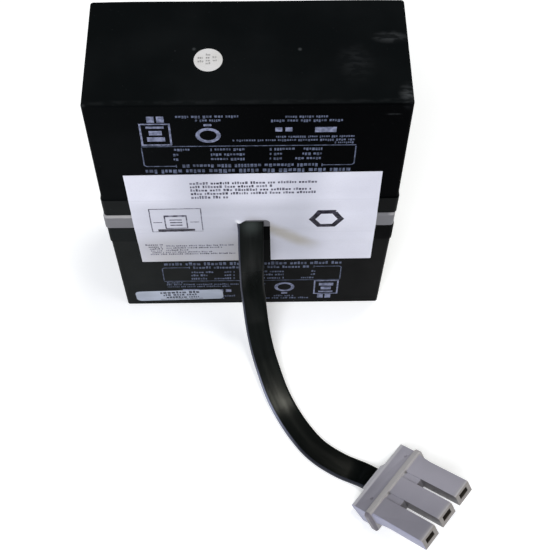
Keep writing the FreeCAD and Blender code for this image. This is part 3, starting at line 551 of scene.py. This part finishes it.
def connectorFinish(opts):
    finish, tree, shader, place = startFinish("connectorPlastic", opts["roughness"], opts["specular"])
    along = alongAxis(tree, place, opts["origin"], opts["along"])
    across = alongAxis(tree, place, opts["origin"], opts["across"])
    clouds = maths(tree, "MULTIPLY", maths(tree, "SUBTRACT", cloudy(tree, place, 70, 4), 0.5), 0.5)
    # painted shade greying it towards the far finger, with a random cloudy tone
    tone = maths(tree, "ADD", ranged(tree, across, -0.016, 0.016), clouds)
    base = blendColours(tree, tone, opts["grey"], opts["pale"])
    rim = maths(tree, "MULTIPLY", ranged(tree, along, -0.0040, -0.0030), ranged(tree, along, 0.0010, 0.0))
    nearTips = maths(tree, "MULTIPLY", ranged(tree, along, 32.0 * mm, 33.8 * mm), 0.6)
    base = blendColours(tree, maths(tree, "MULTIPLY", maths(tree, "MAXIMUM", rim, nearTips), 0.75), base, opts["rim"])
    # painted shade: the finger end faces go darker and warmer
    tips = ranged(tree, along, 34.0 * mm, 34.5 * mm)
    base = blendColours(tree, maths(tree, "MULTIPLY", tips, 0.9), base, opts["tip"])
    height = alongAxis(tree, place, opts["origin"], opts["up"])
    # painted highlight along the hood's rear edge
    rearEdgeHighlight = maths(tree, "MULTIPLY", ranged(tree, along, -10.9 * mm, -11.9 * mm), ranged(tree, height, -1.8 * mm, -1.2 * mm))
    base = blendColours(tree, maths(tree, "MULTIPLY", rearEdgeHighlight, 0.8), base, opts["bevel"])
    # painted light: the hood's and the first finger's left faces get a pale bluish tone
    hoodSide = maths(tree, "MULTIPLY", ranged(tree, across, -21.6 * mm, -21.9 * mm), ranged(tree, along, -2.8 * mm, -3.2 * mm))
    fingerSide = maths(tree, "MULTIPLY", ranged(tree, across, -20.1 * mm, -20.4 * mm), ranged(tree, along, 0.0, 2.0 * mm))
    base = blendColours(tree, maths(tree, "MAXIMUM", hoodSide, fingerSide), base, opts["leftSideLight"])
    # painted shade on the flange's low end
    lowEndShade = maths(tree, "MULTIPLY", ranged(tree, across, -21.2 * mm, -22.0 * mm), ranged(tree, along, -3.1 * mm, -2.9 * mm))
    lowEndShade = maths(tree, "MULTIPLY", lowEndShade, ranged(tree, along, 0.6 * mm, 0.2 * mm))
    base = blendColours(tree, maths(tree, "MULTIPLY", lowEndShade, 0.8), base, opts["lowEndShade"])
    aside = maths(tree, "ABSOLUTE", across)

    def near(value, middle, half):  # one inside a span, nothing outside it
        off = maths(tree, "ABSOLUTE", maths(tree, "SUBTRACT", value, middle * mm))
        return ranged(tree, off, half * mm, (half - 0.12) * mm)

    # painted shade on the walls between the fingers, and painted shadows at the finger roots
    gap = maths(tree, "MULTIPLY", near(aside, opts["pitch"] / 2, opts["gapHalf"]),
                ranged(tree, along, opts["web"] * mm, (opts["web"] + 0.3) * mm))
    gapAndRootShade = maths(tree, "MULTIPLY", gap, 0.8)
    for centre, reach in opts["rootShadows"]:
        gapAndRootShade = maths(tree, "MAXIMUM", gapAndRootShade, maths(tree, "MULTIPLY", wearAndLightBlot(tree, place, centre, reach), 0.8))
    base = blendColours(tree, gapAndRootShade, base, opts["paintedShadeColour"])
    # painted shade inside the contact slots
    inFinger = maths(tree, "MAXIMUM", near(aside, 0.0, opts["slotHalf"]), near(aside, opts["pitch"], opts["slotHalf"]))
    hole = maths(tree, "MULTIPLY", inFinger, near(height, opts["slotLevel"], opts["slotRise"]))
    hole = maths(tree, "MULTIPLY", hole, ranged(tree, along, 34.66 * mm, 34.2 * mm))
    base = blendColours(tree, hole, base, opts["hole"])
    tree.links.new(base, shader.inputs["Base Color"])
    roughen(tree, shader, cloudy(tree, place, 90, 3), opts["roughness"] - 0.05, opts["roughness"] + 0.08)
    relief(tree, shader, cloudy(tree, place, 1800, 2), 0.00002, 0.5)
    return finish


connectorPlastic = connectorFinish(connectorSet)


def softenedNode(name, pieceName, finish, width, sharp):
    bm = nodeCopy(name)
    hard = [e for e in bm.edges if len(e.link_faces) == 2 and e.calc_face_angle() > math.radians(sharp)]
    bmesh.ops.bevel(bm, geom=hard, offset=width * mm, offset_type="OFFSET", affect="EDGES", segments=3,
                    profile=0.5, material=-1, clamp_overlap=True)
    bmesh.ops.recalc_face_normals(bm, faces=bm.faces)
    piece = addPiece(pieceName, bm, finish)
    smoothShade(piece, 35)
    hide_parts(name)
    return piece


connectorHousing = softenedNode(
    "connector_housing", "connectorHousing", connectorPlastic,
    connectorSet["edge"], connectorSet["sharp"])
connectorHood = softenedNode(
    "connector_hood", "connectorHood", connectorPlastic,
    connectorSet["hoodEdge"], connectorSet["sharp"])
print("connector softened")


# print: every line of text is a row of plain blocks, every sign a plain box, bar or ring

def addBlock(bm, frameMatrix, x, z, wide, tall, turn=0.0, thick=0.06):
    spin = Matrix.Rotation(math.radians(-turn), 4, "Y")
    shape = Matrix.Diagonal((wide * mm, thick * mm, tall * mm, 1.0))
    place = Matrix.Translation((x * mm, -thick * mm * 0.3, z * mm))
    bmesh.ops.create_cube(bm, size=1.0, matrix=frameMatrix @ place @ spin @ shape)


def addWords(bm, frameMatrix, draw, left, right, base, tall, weight=0.62):
    x = left
    letters = draw.randint(3, 8)
    while x < right - 0.3 * tall:
        wide = min(tall * draw.uniform(0.32, weight), right - x)
        high = tall * (1.0 if draw.random() < 0.35 else 0.74)
        addBlock(bm, frameMatrix, x + wide / 2, base + high / 2, wide, high)
        x += wide + tall * 0.2
        letters -= 1
        if letters == 0:
            x += tall * 0.45
            letters = draw.randint(3, 8)


def addFrame(bm, frameMatrix, left, right, low, high, line):
    addBlock(bm, frameMatrix, (left + right) / 2, low, right - left + line, line)
    addBlock(bm, frameMatrix, (left + right) / 2, high, right - left + line, line)
    addBlock(bm, frameMatrix, left, (low + high) / 2, line, high - low - line)
    addBlock(bm, frameMatrix, right, (low + high) / 2, line, high - low - line)


def addRing(bm, frameMatrix, x, z, inner, outer, sides, thick=0.06):
    flat = bmesh.new()
    rim = [flat.verts.new((r * mm, y * thick * mm, 0)) for r, y in
           ((inner, -0.8), (outer, -0.8), (outer, 0.2), (inner, 0.2))]
    edges = [flat.edges.new((rim[i], rim[(i + 1) % 4])) for i in range(4)]
    bmesh.ops.spin(flat, geom=rim + edges, cent=(0, 0, 0), axis=(0, 1, 0), angle=2 * math.pi, steps=sides, use_merge=True)
    bmesh.ops.recalc_face_normals(flat, faces=flat.faces)
    bmesh.ops.transform(flat, matrix=frameMatrix @ Matrix.Translation((x * mm, 0, z * mm)), verts=flat.verts)
    ring = bpy.data.meshes.new("ring")
    flat.to_mesh(ring)
    flat.free()
    bm.from_mesh(ring)
    bpy.data.meshes.remove(ring)


batteryPrintSet = {
    "faceFront": 31.4, "draft": 0.435, "ink": (0.122, 0.144, 0.222), "wearAndLitSide": (0.056, 0.067, 0.103),
    "signInk": (0.257, 0.277, 0.405), "signWorn": (0.121, 0.135, 0.203),
    "words": [  # left, right, base, height
        (-49.5, 50.8, 50.3, 3.3), (-33.3, 33.2, 46.0, 2.7),
        (-34.6, -21.3, 40.7, 2.1), (-15.8, -9.9, 40.7, 2.0), (2.2, 18.4, 40.7, 2.1), (34.2, 36.8, 40.7, 2.0),
        (-34.9, -25.6, 36.8, 2.1), (-15.8, -9.9, 36.8, 2.0), (2.1, 18.3, 36.8, 2.1), (33.9, 36.5, 36.8, 2.0),
        (-35.0, -25.4, 32.6, 2.1), (-21.8, -9.6, 32.6, 2.1), (2.1, 19.3, 32.6, 2.1), (28.4, 36.2, 32.6, 2.0),
        (-49.6, -40.4, 27.9, 1.5), (-49.9, 7.7, 25.5, 1.7), (-49.7, -12.9, 22.8, 1.6),
        (-43.5, -10.3, 9.9, 2.0), (-36.5, -16.8, 7.0, 1.8),
        (12.7, 24.8, 9.3, 1.8), (4.5, 33.4, 6.3, 2.0),
    ],
    "table": (-51.0, 51.0, 30.6, 47.4),
    "tableGap": 35.5,  # the heading breaks the table's upper line between two short uprights
    "line": 0.55,
    "box": (36.6, 50.2, 12.6, 29.2),
    "boxLine": 0.9,
    "blocks": [  # x, z, wide, tall, turn
        (43.4, 24.6, 8.4, 3.4, 0), (43.4, 19.6, 6.0, 3.4, 0), (43.4, 15.2, 8.4, 1.6, 0),
        (40.4, 9.0, 3.4, 4.6, 0), (44.9, 9.0, 3.4, 4.6, 0), (-36.0, 18.0, 10.0, 4.0, 0),
        (18.9, 13.6, 3.6, 1.6, 0), (-14.1, 17.6, 3.2, 3.2, 0), (-18.8, 17.6, 3.2, 3.2, 0),
    ],
    "rings": [(18.9, 21.8, 4.0, 5.9, 24)],  # x, z, inner and outer radius, sides
}


def batteryPrint(opts, name, turned, finish, signFinish, shift, seed):
    draw = random.Random(seed)
    lean = Matrix.Rotation(math.radians(opts["draft"]), 4, "X")
    frameMatrix = Matrix.Translation((0, -opts["faceFront"] * mm, 0)) @ lean @ Matrix.Translation((0, 0, shift * mm))
    if turned:
        flip = Matrix.Translation((0, 0, 0.2)) @ Matrix.Rotation(math.pi, 4, "Y")
        frameMatrix = flip @ frameMatrix
    bm = bmesh.new()
    for left, right, base, tall in opts["words"]:
        addWords(bm, frameMatrix, draw, left, right, base, tall)
    left, right, low, high = opts["table"]
    line, gap = opts["line"], opts["tableGap"]
    addBlock(bm, frameMatrix, 0, low, right - left, line)
    for side, edge in ((-1, left), (1, right)):
        addBlock(bm, frameMatrix, edge, (low + high) / 2, line, high - low - 2)
        addBlock(bm, frameMatrix, side * (gap + abs(edge) - 1) / 2, high, abs(edge) - gap - 1, line)
        addBlock(bm, frameMatrix, edge - side * 0.6, high - 0.5, 1.6, line, side * -45)
        addBlock(bm, frameMatrix, side * gap, high, line, 2.4)
    plain = len(bm.faces)
    addFrame(bm, frameMatrix, *opts["box"], opts["boxLine"])
    for x, z, wide, tall, turn in opts["blocks"]:
        addBlock(bm, frameMatrix, x, z, wide, tall, turn)
    for ring in opts["rings"]:
        addRing(bm, frameMatrix, *ring)
    for number, face in enumerate(bm.faces):
        face.material_index = 0 if number < plain else 1
    piece = addPiece(name, bm, finish)
    piece.data.materials.append(signFinish)
    return piece


# screen ink: solid in places, thin and broken in others
def inkFinish(name, ink, wearAndLitSide, roughness):
    finish, tree, shader, place = startFinish(name, roughness, 0.05)
    thin = ranged(tree, cloudy(tree, place, 420, 4), 0.38, 0.62)
    tree.links.new(blendColours(tree, thin, wearAndLitSide, ink), shader.inputs["Base Color"])
    return finish


paleInk = inkFinish("paleInk", batteryPrintSet["ink"], batteryPrintSet["wearAndLitSide"], 0.5)
signInk = inkFinish("signInk", batteryPrintSet["signInk"], batteryPrintSet["signWorn"], 0.5)
batteryPrint(batteryPrintSet, "upperPrint", True, paleInk, signInk, 0.9, 7)
batteryPrint(batteryPrintSet, "lowerPrint", False, paleInk, signInk, -0.7, 7)
print("battery print laid")


# front label: a paper sheet pressed over the lids and the carrier, and in to the cases above and below
labelSet = {
    "centre": (2.2, 100.3), "turn": 0.75, "face": 33.45,
    "steps": [(6.3, 9.5, 0.65), (20.5, 25.5, 0.5)],  # height off the middle, where from and to, and how far in
    "slope": 0.0076, "slopeFrom": 21.0, "step": 2.5,
    "paper": (0.695, 0.695, 0.79), "warm": (0.425, 0.408, 0.408), "pale": (0.783, 0.783, 0.878),
    "shade": (0.513, 0.52, 0.601), "stain": (0.392, 0.365, 0.324),
    "stainAt": (17.2, 86.9), "stainTurn": 40.6, "stainHalf": (30.0, 8.0),
    "dipShades": [(-26, 25, 0.65), (26, 20, 0.62)],  # x, half width and depth of painted shade where the paper dips
    "curlHighlight": ((-6.4, -34.0, 101.2), 2.6, (0.92, 0.92, 0.95)),  # painted highlight on the curled corner at the slot
    "curl": (-5.3, 101.0, 2.8, 1.9),  # that corner stands off: x, z, reach and height
    "belly": (0.405, 0.412, 0.472), "bellyDepth": 0.42,  # the paper's shaded middle
    "bellyZ": ((124, 111), (55, 72)), "bellyX": ((-95, -30), (62, 12)),
    "creases": [(88.2, 0.5), (121.0, 0.4)],
    "lines": [  # left, right, middle, height, from the sheet's centre
        (-31.8, 32.0, 36.6, 2.2), (-31.8, 10.2, 33.4, 2.2), (-31.8, 29.0, 30.2, 2.2),
        (-31.8, 33.0, 27.0, 2.2), (-31.8, -12.4, 23.8, 2.2),
        (-60.4, -50.6, -24.9, 1.5), (-58.8, -51.0, -27.3, 1.5), (-58.4, -51.0, -29.6, 1.5), (-58.0, -51.0, -31.9, 1.4),
        (-57.5, -51.0, -34.0, 1.3), (-49.1, -11.8, -26.4, 1.5), (-49.2, -18.6, -28.8, 1.4),
        (-49.5, -36.6, -31.3, 1.4), (-50.0, -24.3, -33.6, 1.4), (-58.6, -11.6, -35.8, 1.5),
    ],
    "frame": (-54.6, -27.8, -9.7, 13.5), "frameLine": 0.55,
    "bar": (-41.75, -7.9, 19.5, 3.3),
    "sign": [  # plain boxes and strokes inside the frame: x, z, wide, tall, turn
        (-41.4, 7.2, 12.0, 1.3, 0), (-41.4, -5.2, 12.0, 0.7, 0), (-47.1, 1.0, 0.7, 11.6, 0), (-35.7, 1.0, 0.7, 11.6, 0),
        (-41.4, 3.4, 6.4, 1.0, 0), (-41.4, 0.7, 6.4, 1.0, 0), (-41.4, -2.0, 6.4, 1.0, 0),
        (-51.0, 1.0, 4.6, 0.6, 0), (-31.6, 1.0, 4.6, 0.6, 0),
    ],
    "loop": (37.7, 1.7, 5.9, 9.3, 6),  # a plain six-sided ring: x, z, inner and outer radius, sides
    "ink": (0.0108, 0.00945, 0.0162), "greyInk": (0.0473, 0.0432, 0.0675),
}


def labelPress(opts, x, z):
    away = abs(z - 100.0)
    press = max(away - opts["slopeFrom"], 0.0) * opts["slope"]
    for begin, end, depth in opts["steps"]:
        ease = min(max((away - begin) / (end - begin), 0.0), 1.0)
        press += depth * ease * ease * (3 - 2 * ease)
    curlX, curlZ, reach, height = opts["curl"]
    press -= height * max(1 - ((x - curlX) ** 2 + (z - curlZ) ** 2) / reach ** 2, 0.0) ** 2
    return press - 0.04 - 0.04 * math.sin(x * 0.09 + z * 0.04) * math.sin(z * 0.13)


# cut along one set of level and upright lines, so that paper and print bend alike
def pressSheet(opts, bm):
    for axis, normal in ((2, (0, 0, 1)), (0, (1, 0, 0))):
        low = math.floor(min(v.co[axis] for v in bm.verts) / mm / opts["step"]) + 1
        high = math.ceil(max(v.co[axis] for v in bm.verts) / mm / opts["step"])
        for index in range(low, high):
            level = index * opts["step"] * mm
            bmesh.ops.bisect_plane(bm, geom=bm.verts[:] + bm.edges[:] + bm.faces[:], dist=1e-7,
                                   plane_co=[level * n for n in normal], plane_no=normal)
    for vert in bm.verts:
        vert.co.y += labelPress(opts, vert.co.x / mm, vert.co.z / mm) * mm


def makeLabel(opts, finish):
    bm = nodeCopy("front_label")
    pressSheet(opts, bm)
    piece = addPiece("labelSheet", bm, finish)
    smoothShade(piece, 30)
    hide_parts("front_label")
    return piece


# paper: fibre, a cool tone that goes warm below the middle, painted shade where it dips, in its middle and along two
# creases, a painted highlight on its curled corner, and one diagonal stain
def labelFinish(opts):
    finish, tree, shader, place = startFinish("labelPaper", 0.55, 0.33)
    x, y, z = axes(tree, place)
    fibre = cloudy(tree, place, 1500, 4)
    clouds = cloudy(tree, place, 22, 3)
    base = blendColours(tree, ranged(tree, clouds, 0.3, 0.7), opts["paper"], opts["pale"])
    low = ranged(tree, z, 0.094, 0.072)
    left = maths(tree, "MULTIPLY", ranged(tree, x, -0.088, -0.028), ranged(tree, x, 0.016, -0.004))
    warmth = maths(tree, "MULTIPLY", low, left)
    base = blendColours(tree, warmth, base, opts["warm"])
    # painted shade where the paper dips
    for middle, half, depth in opts["dipShades"]:
        off = maths(tree, "ABSOLUTE", maths(tree, "SUBTRACT", x, middle * mm))
        base = blendColours(tree, ranged(tree, off, half * mm, 0.0, 0.0, depth), base, opts["shade"])
    belly = opts["bellyDepth"]
    for value, spans in ((z, opts["bellyZ"]), (x, opts["bellyX"])):
        for begin, end in spans:
            belly = maths(tree, "MULTIPLY", ranged(tree, value, begin * mm, end * mm), belly)
    base = blendColours(tree, belly, base, opts["belly"])
    # painted highlight on the curled corner at the slot
    centre, reach, colour = opts["curlHighlight"]
    base = blendColours(tree, wearAndLightBlot(tree, place, centre, reach), base, colour)
    stainMap = tree.nodes.new("ShaderNodeMapping")
    stainMap.vector_type = "TEXTURE"
    stainMap.inputs["Location"].default_value = (opts["stainAt"][0] * mm, 0, opts["stainAt"][1] * mm)
    stainMap.inputs["Rotation"].default_value = (0, math.radians(opts["stainTurn"]), 0)
    stainMap.inputs["Scale"].default_value = (opts["stainHalf"][0] * mm, 1, opts["stainHalf"][1] * mm)
    tree.links.new(place, stainMap.inputs["Vector"])
    sx, sy, sz = axes(tree, stainMap.outputs["Vector"])
    ragged = maths(tree, "MULTIPLY", maths(tree, "SUBTRACT", cloudy(tree, place, 90, 4), 0.5), 0.5)
    offLine = maths(tree, "ABSOLUTE", maths(tree, "ADD", sz, ragged))
    band = maths(tree, "MULTIPLY", ranged(tree, offLine, 1.0, 0.1), ranged(tree, maths(tree, "ABSOLUTE", sx), 1.0, 0.35))
    base = blendColours(tree, maths(tree, "MULTIPLY", band, 0.85), base, opts["stain"])
    # painted shade along the two creases
    for level, half in opts["creases"]:
        off = maths(tree, "ABSOLUTE", maths(tree, "SUBTRACT", z, level * mm))
        fold = maths(tree, "MULTIPLY", ranged(tree, off, half * mm, 0.0), 0.25)
        base = blendColours(tree, fold, base, opts["shade"])
    base = blendColours(tree, maths(tree, "MULTIPLY", ranged(tree, fibre, 0.5, 0.75), 0.12), base, opts["warm"])
    tree.links.new(base, shader.inputs["Base Color"])
    relief(tree, shader, fibre, 0.00003, 0.4)
    return finish


def labelPrint(opts, name, finish, small):
    draw = random.Random(11)
    turn = Matrix.Rotation(math.radians(-opts["turn"]), 4, "Y")
    frameMatrix = Matrix.Translation((opts["centre"][0] * mm, -opts["face"] * mm, opts["centre"][1] * mm)) @ turn
    bm = bmesh.new()
    if small:
        for left, right, middle, tall in opts["lines"]:
            addWords(bm, frameMatrix, draw, left, right, middle - tall / 2, tall, 0.6)
        addFrame(bm, frameMatrix, *opts["frame"], opts["frameLine"])
        for block in opts["sign"]:
            addBlock(bm, frameMatrix, *block)
    else:
        addBlock(bm, frameMatrix, *opts["bar"])
        addRing(bm, frameMatrix, *opts["loop"])
    pressSheet(opts, bm)
    return addPiece(name, bm, finish)


makeLabel(labelSet, labelFinish(labelSet))
labelPrint(labelSet, "labelSigns", inkFinish("blackInk", labelSet["ink"], (0.047, 0.043, 0.061), 0.45), False)
labelPrint(labelSet, "labelWords", inkFinish("greyInk", labelSet["greyInk"], (0.23, 0.23, 0.284), 0.5), True)
print("label laid")


# stickers
stickerSet = {
    "silver": (0.297, 0.331, 0.405), "silverPale": (0.446, 0.486, 0.587),
    "silverCentre": (-43.4, 11.8), "silverTurn": 2.3, "silverFace": 31.64,
    "silverWords": [(-11.2, 12.0, 2.5, 2.9), (-9.6, 10.2, -0.5, 2.3), (-8.0, 11.4, -3.5, 2.2), (-11.6, 13.4, -5.2, 0.9)],
    "silverInk": (0.04, 0.045, 0.06), "silverWorn": (0.112, 0.122, 0.157), "silverWeight": 0.82,
    "white": (0.641, 0.628, 0.63), "whiteShade": (0.587, 0.57, 0.556),
    "spotMarks": [  # left, right, base, height
        (-23.2, -20.5, -4.3, 1.3), (-23.2, -20.5, -6.4, 1.3),
        (-19.4, -17.4, -2.5, 1.2), (-19.4, -17.4, -4.2, 1.2), (-19.4, -17.4, -5.9, 1.2), (-19.4, -17.4, -7.6, 1.2),
        (-16.3, -14.2, -4.0, 1.5), (-16.1, -14.4, -5.8, 1.0),
    ],
    "spotInk": (0.27, 0.263, 0.263), "spotWorn": (0.378, 0.371, 0.371),
}


def filmFinish(name, colour, paler, roughness, scale, metallic):
    finish, tree, shader, place = startFinish(name, roughness, 0.5)
    shader.inputs["Metallic"].default_value = metallic
    tone = ranged(tree, cloudy(tree, place, scale, 4, stretch=(0.5, 1, 1)), 0.3, 0.7)
    tree.links.new(blendColours(tree, tone, colour, paler), shader.inputs["Base Color"])
    relief(tree, shader, cloudy(tree, place, scale * 10, 2), 0.00002, 0.4)
    return finish


dressNode("plain_sticker", filmFinish("silverFilm", stickerSet["silver"], stickerSet["silverPale"], 0.42, 60, 0.0))
dressNode("round_sticker", filmFinish("spotPaper", stickerSet["whiteShade"], stickerSet["white"], 0.6, 150, 0.0))


def stickerPrint(opts):
    draw = random.Random(5)
    x, z = opts["silverCentre"]
    lean = Matrix.Rotation(math.radians(batteryPrintSet["draft"]), 4, "X")
    turn = Matrix.Rotation(math.radians(-opts["silverTurn"]), 4, "Y")
    frameMatrix = Matrix.Translation((x * mm, -opts["silverFace"] * mm, z * mm)) @ lean @ turn
    bm = bmesh.new()
    for left, right, base, tall in opts["silverWords"]:
        addWords(bm, frameMatrix, draw, left, right, base, tall, opts["silverWeight"])
    addPiece("silverWords", bm, inkFinish("silverInk", opts["silverInk"], opts["silverWorn"], 0.5))
    bm = bmesh.new()
    flat = Matrix.Translation((0, 0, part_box("round_sticker")[1][2])) @ Matrix.Rotation(math.radians(-90), 4, "X")
    for mark in opts["spotMarks"]:
        addWords(bm, flat, draw, *mark, 0.7)
    addPiece("spotMarks", bm, inkFinish("spotInk", opts["spotInk"], opts["spotWorn"], 0.6))


stickerPrint(stickerSet)
print("stickers printed")


# studio: pale floor, large soft lamps
studioSet = {
    "floor": (0.93, 0.93, 0.93), "floorHalf": 4.0, "floorGlow": 0.3,  # the glow is for the picture, and lights nothing
    "world": (0.88, 0.92, 1.0), "worldStrength": 0.311,
    "lamps": [  # name, place, aim, size, power, colour
        ("keyLamp", (-0.45, -1.3, 1.75), (0.0, -0.05, 0.08), 1.1, 27.4, (0.94, 0.96, 1.0)),
        ("fillLamp", (1.25, -0.55, 1.35), (0.0, -0.05, 0.08), 0.9, 6.7, (1.0, 0.96, 0.9)),
        ("topLamp", (0.22, 0.19, 1.9), (0.0, -0.05, 0.05), 0.22, 7.4, (1.0, 0.99, 0.86)),
    ],
}


def makeStudio(opts):
    bm = bmesh.new()
    bmesh.ops.create_grid(bm, x_segments=1, y_segments=1, size=opts["floorHalf"])
    mesh = bpy.data.meshes.new("floor")
    bm.to_mesh(mesh)
    bm.free()
    floor = bpy.data.objects.new("floor", mesh)
    scene.collection.objects.link(floor)
    finish, tree, shader, place = startFinish("floorPaper", 0.85, 0.1)
    tone = ranged(tree, cloudy(tree, place, 3, 2), 0.2, 0.8)
    tree.links.new(blendColours(tree, tone, opts["floor"], tuple(c + 0.015 for c in opts["floor"])),
                   shader.inputs["Base Color"])
    rays = tree.nodes.new("ShaderNodeLightPath").outputs
    seen = maths(tree, "MAXIMUM", rays["Is Glossy Ray"], rays["Is Transmission Ray"])
    seen = maths(tree, "MAXIMUM", rays["Is Camera Ray"], seen)
    shader.inputs["Emission Color"].default_value = (1.0, 1.0, 1.0, 1.0)
    tree.links.new(maths(tree, "MULTIPLY", seen, opts["floorGlow"]), shader.inputs["Emission Strength"])
    mesh.materials.append(finish)
    world = bpy.data.worlds.new("studioWorld")
    world.use_nodes = True
    background = world.node_tree.nodes["Background"]
    background.inputs["Color"].default_value = (*opts["world"], 1.0)
    background.inputs["Strength"].default_value = opts["worldStrength"]
    scene.world = world
    for name, place, aim, size, power, colour in opts["lamps"]:
        lamp = bpy.data.lights.new(name, "AREA")
        lamp.size = size
        lamp.energy = power
        lamp.color = colour
        holder = bpy.data.objects.new(name, lamp)
        holder.location = place
        holder.rotation_euler = (Vector(aim) - Vector(place)).to_track_quat("-Z", "Y").to_euler()
        scene.collection.objects.link(holder)


makeStudio(studioSet)
scene.view_settings.view_transform = "Standard"
print("studio lit")

bpy.context.view_layer.update()
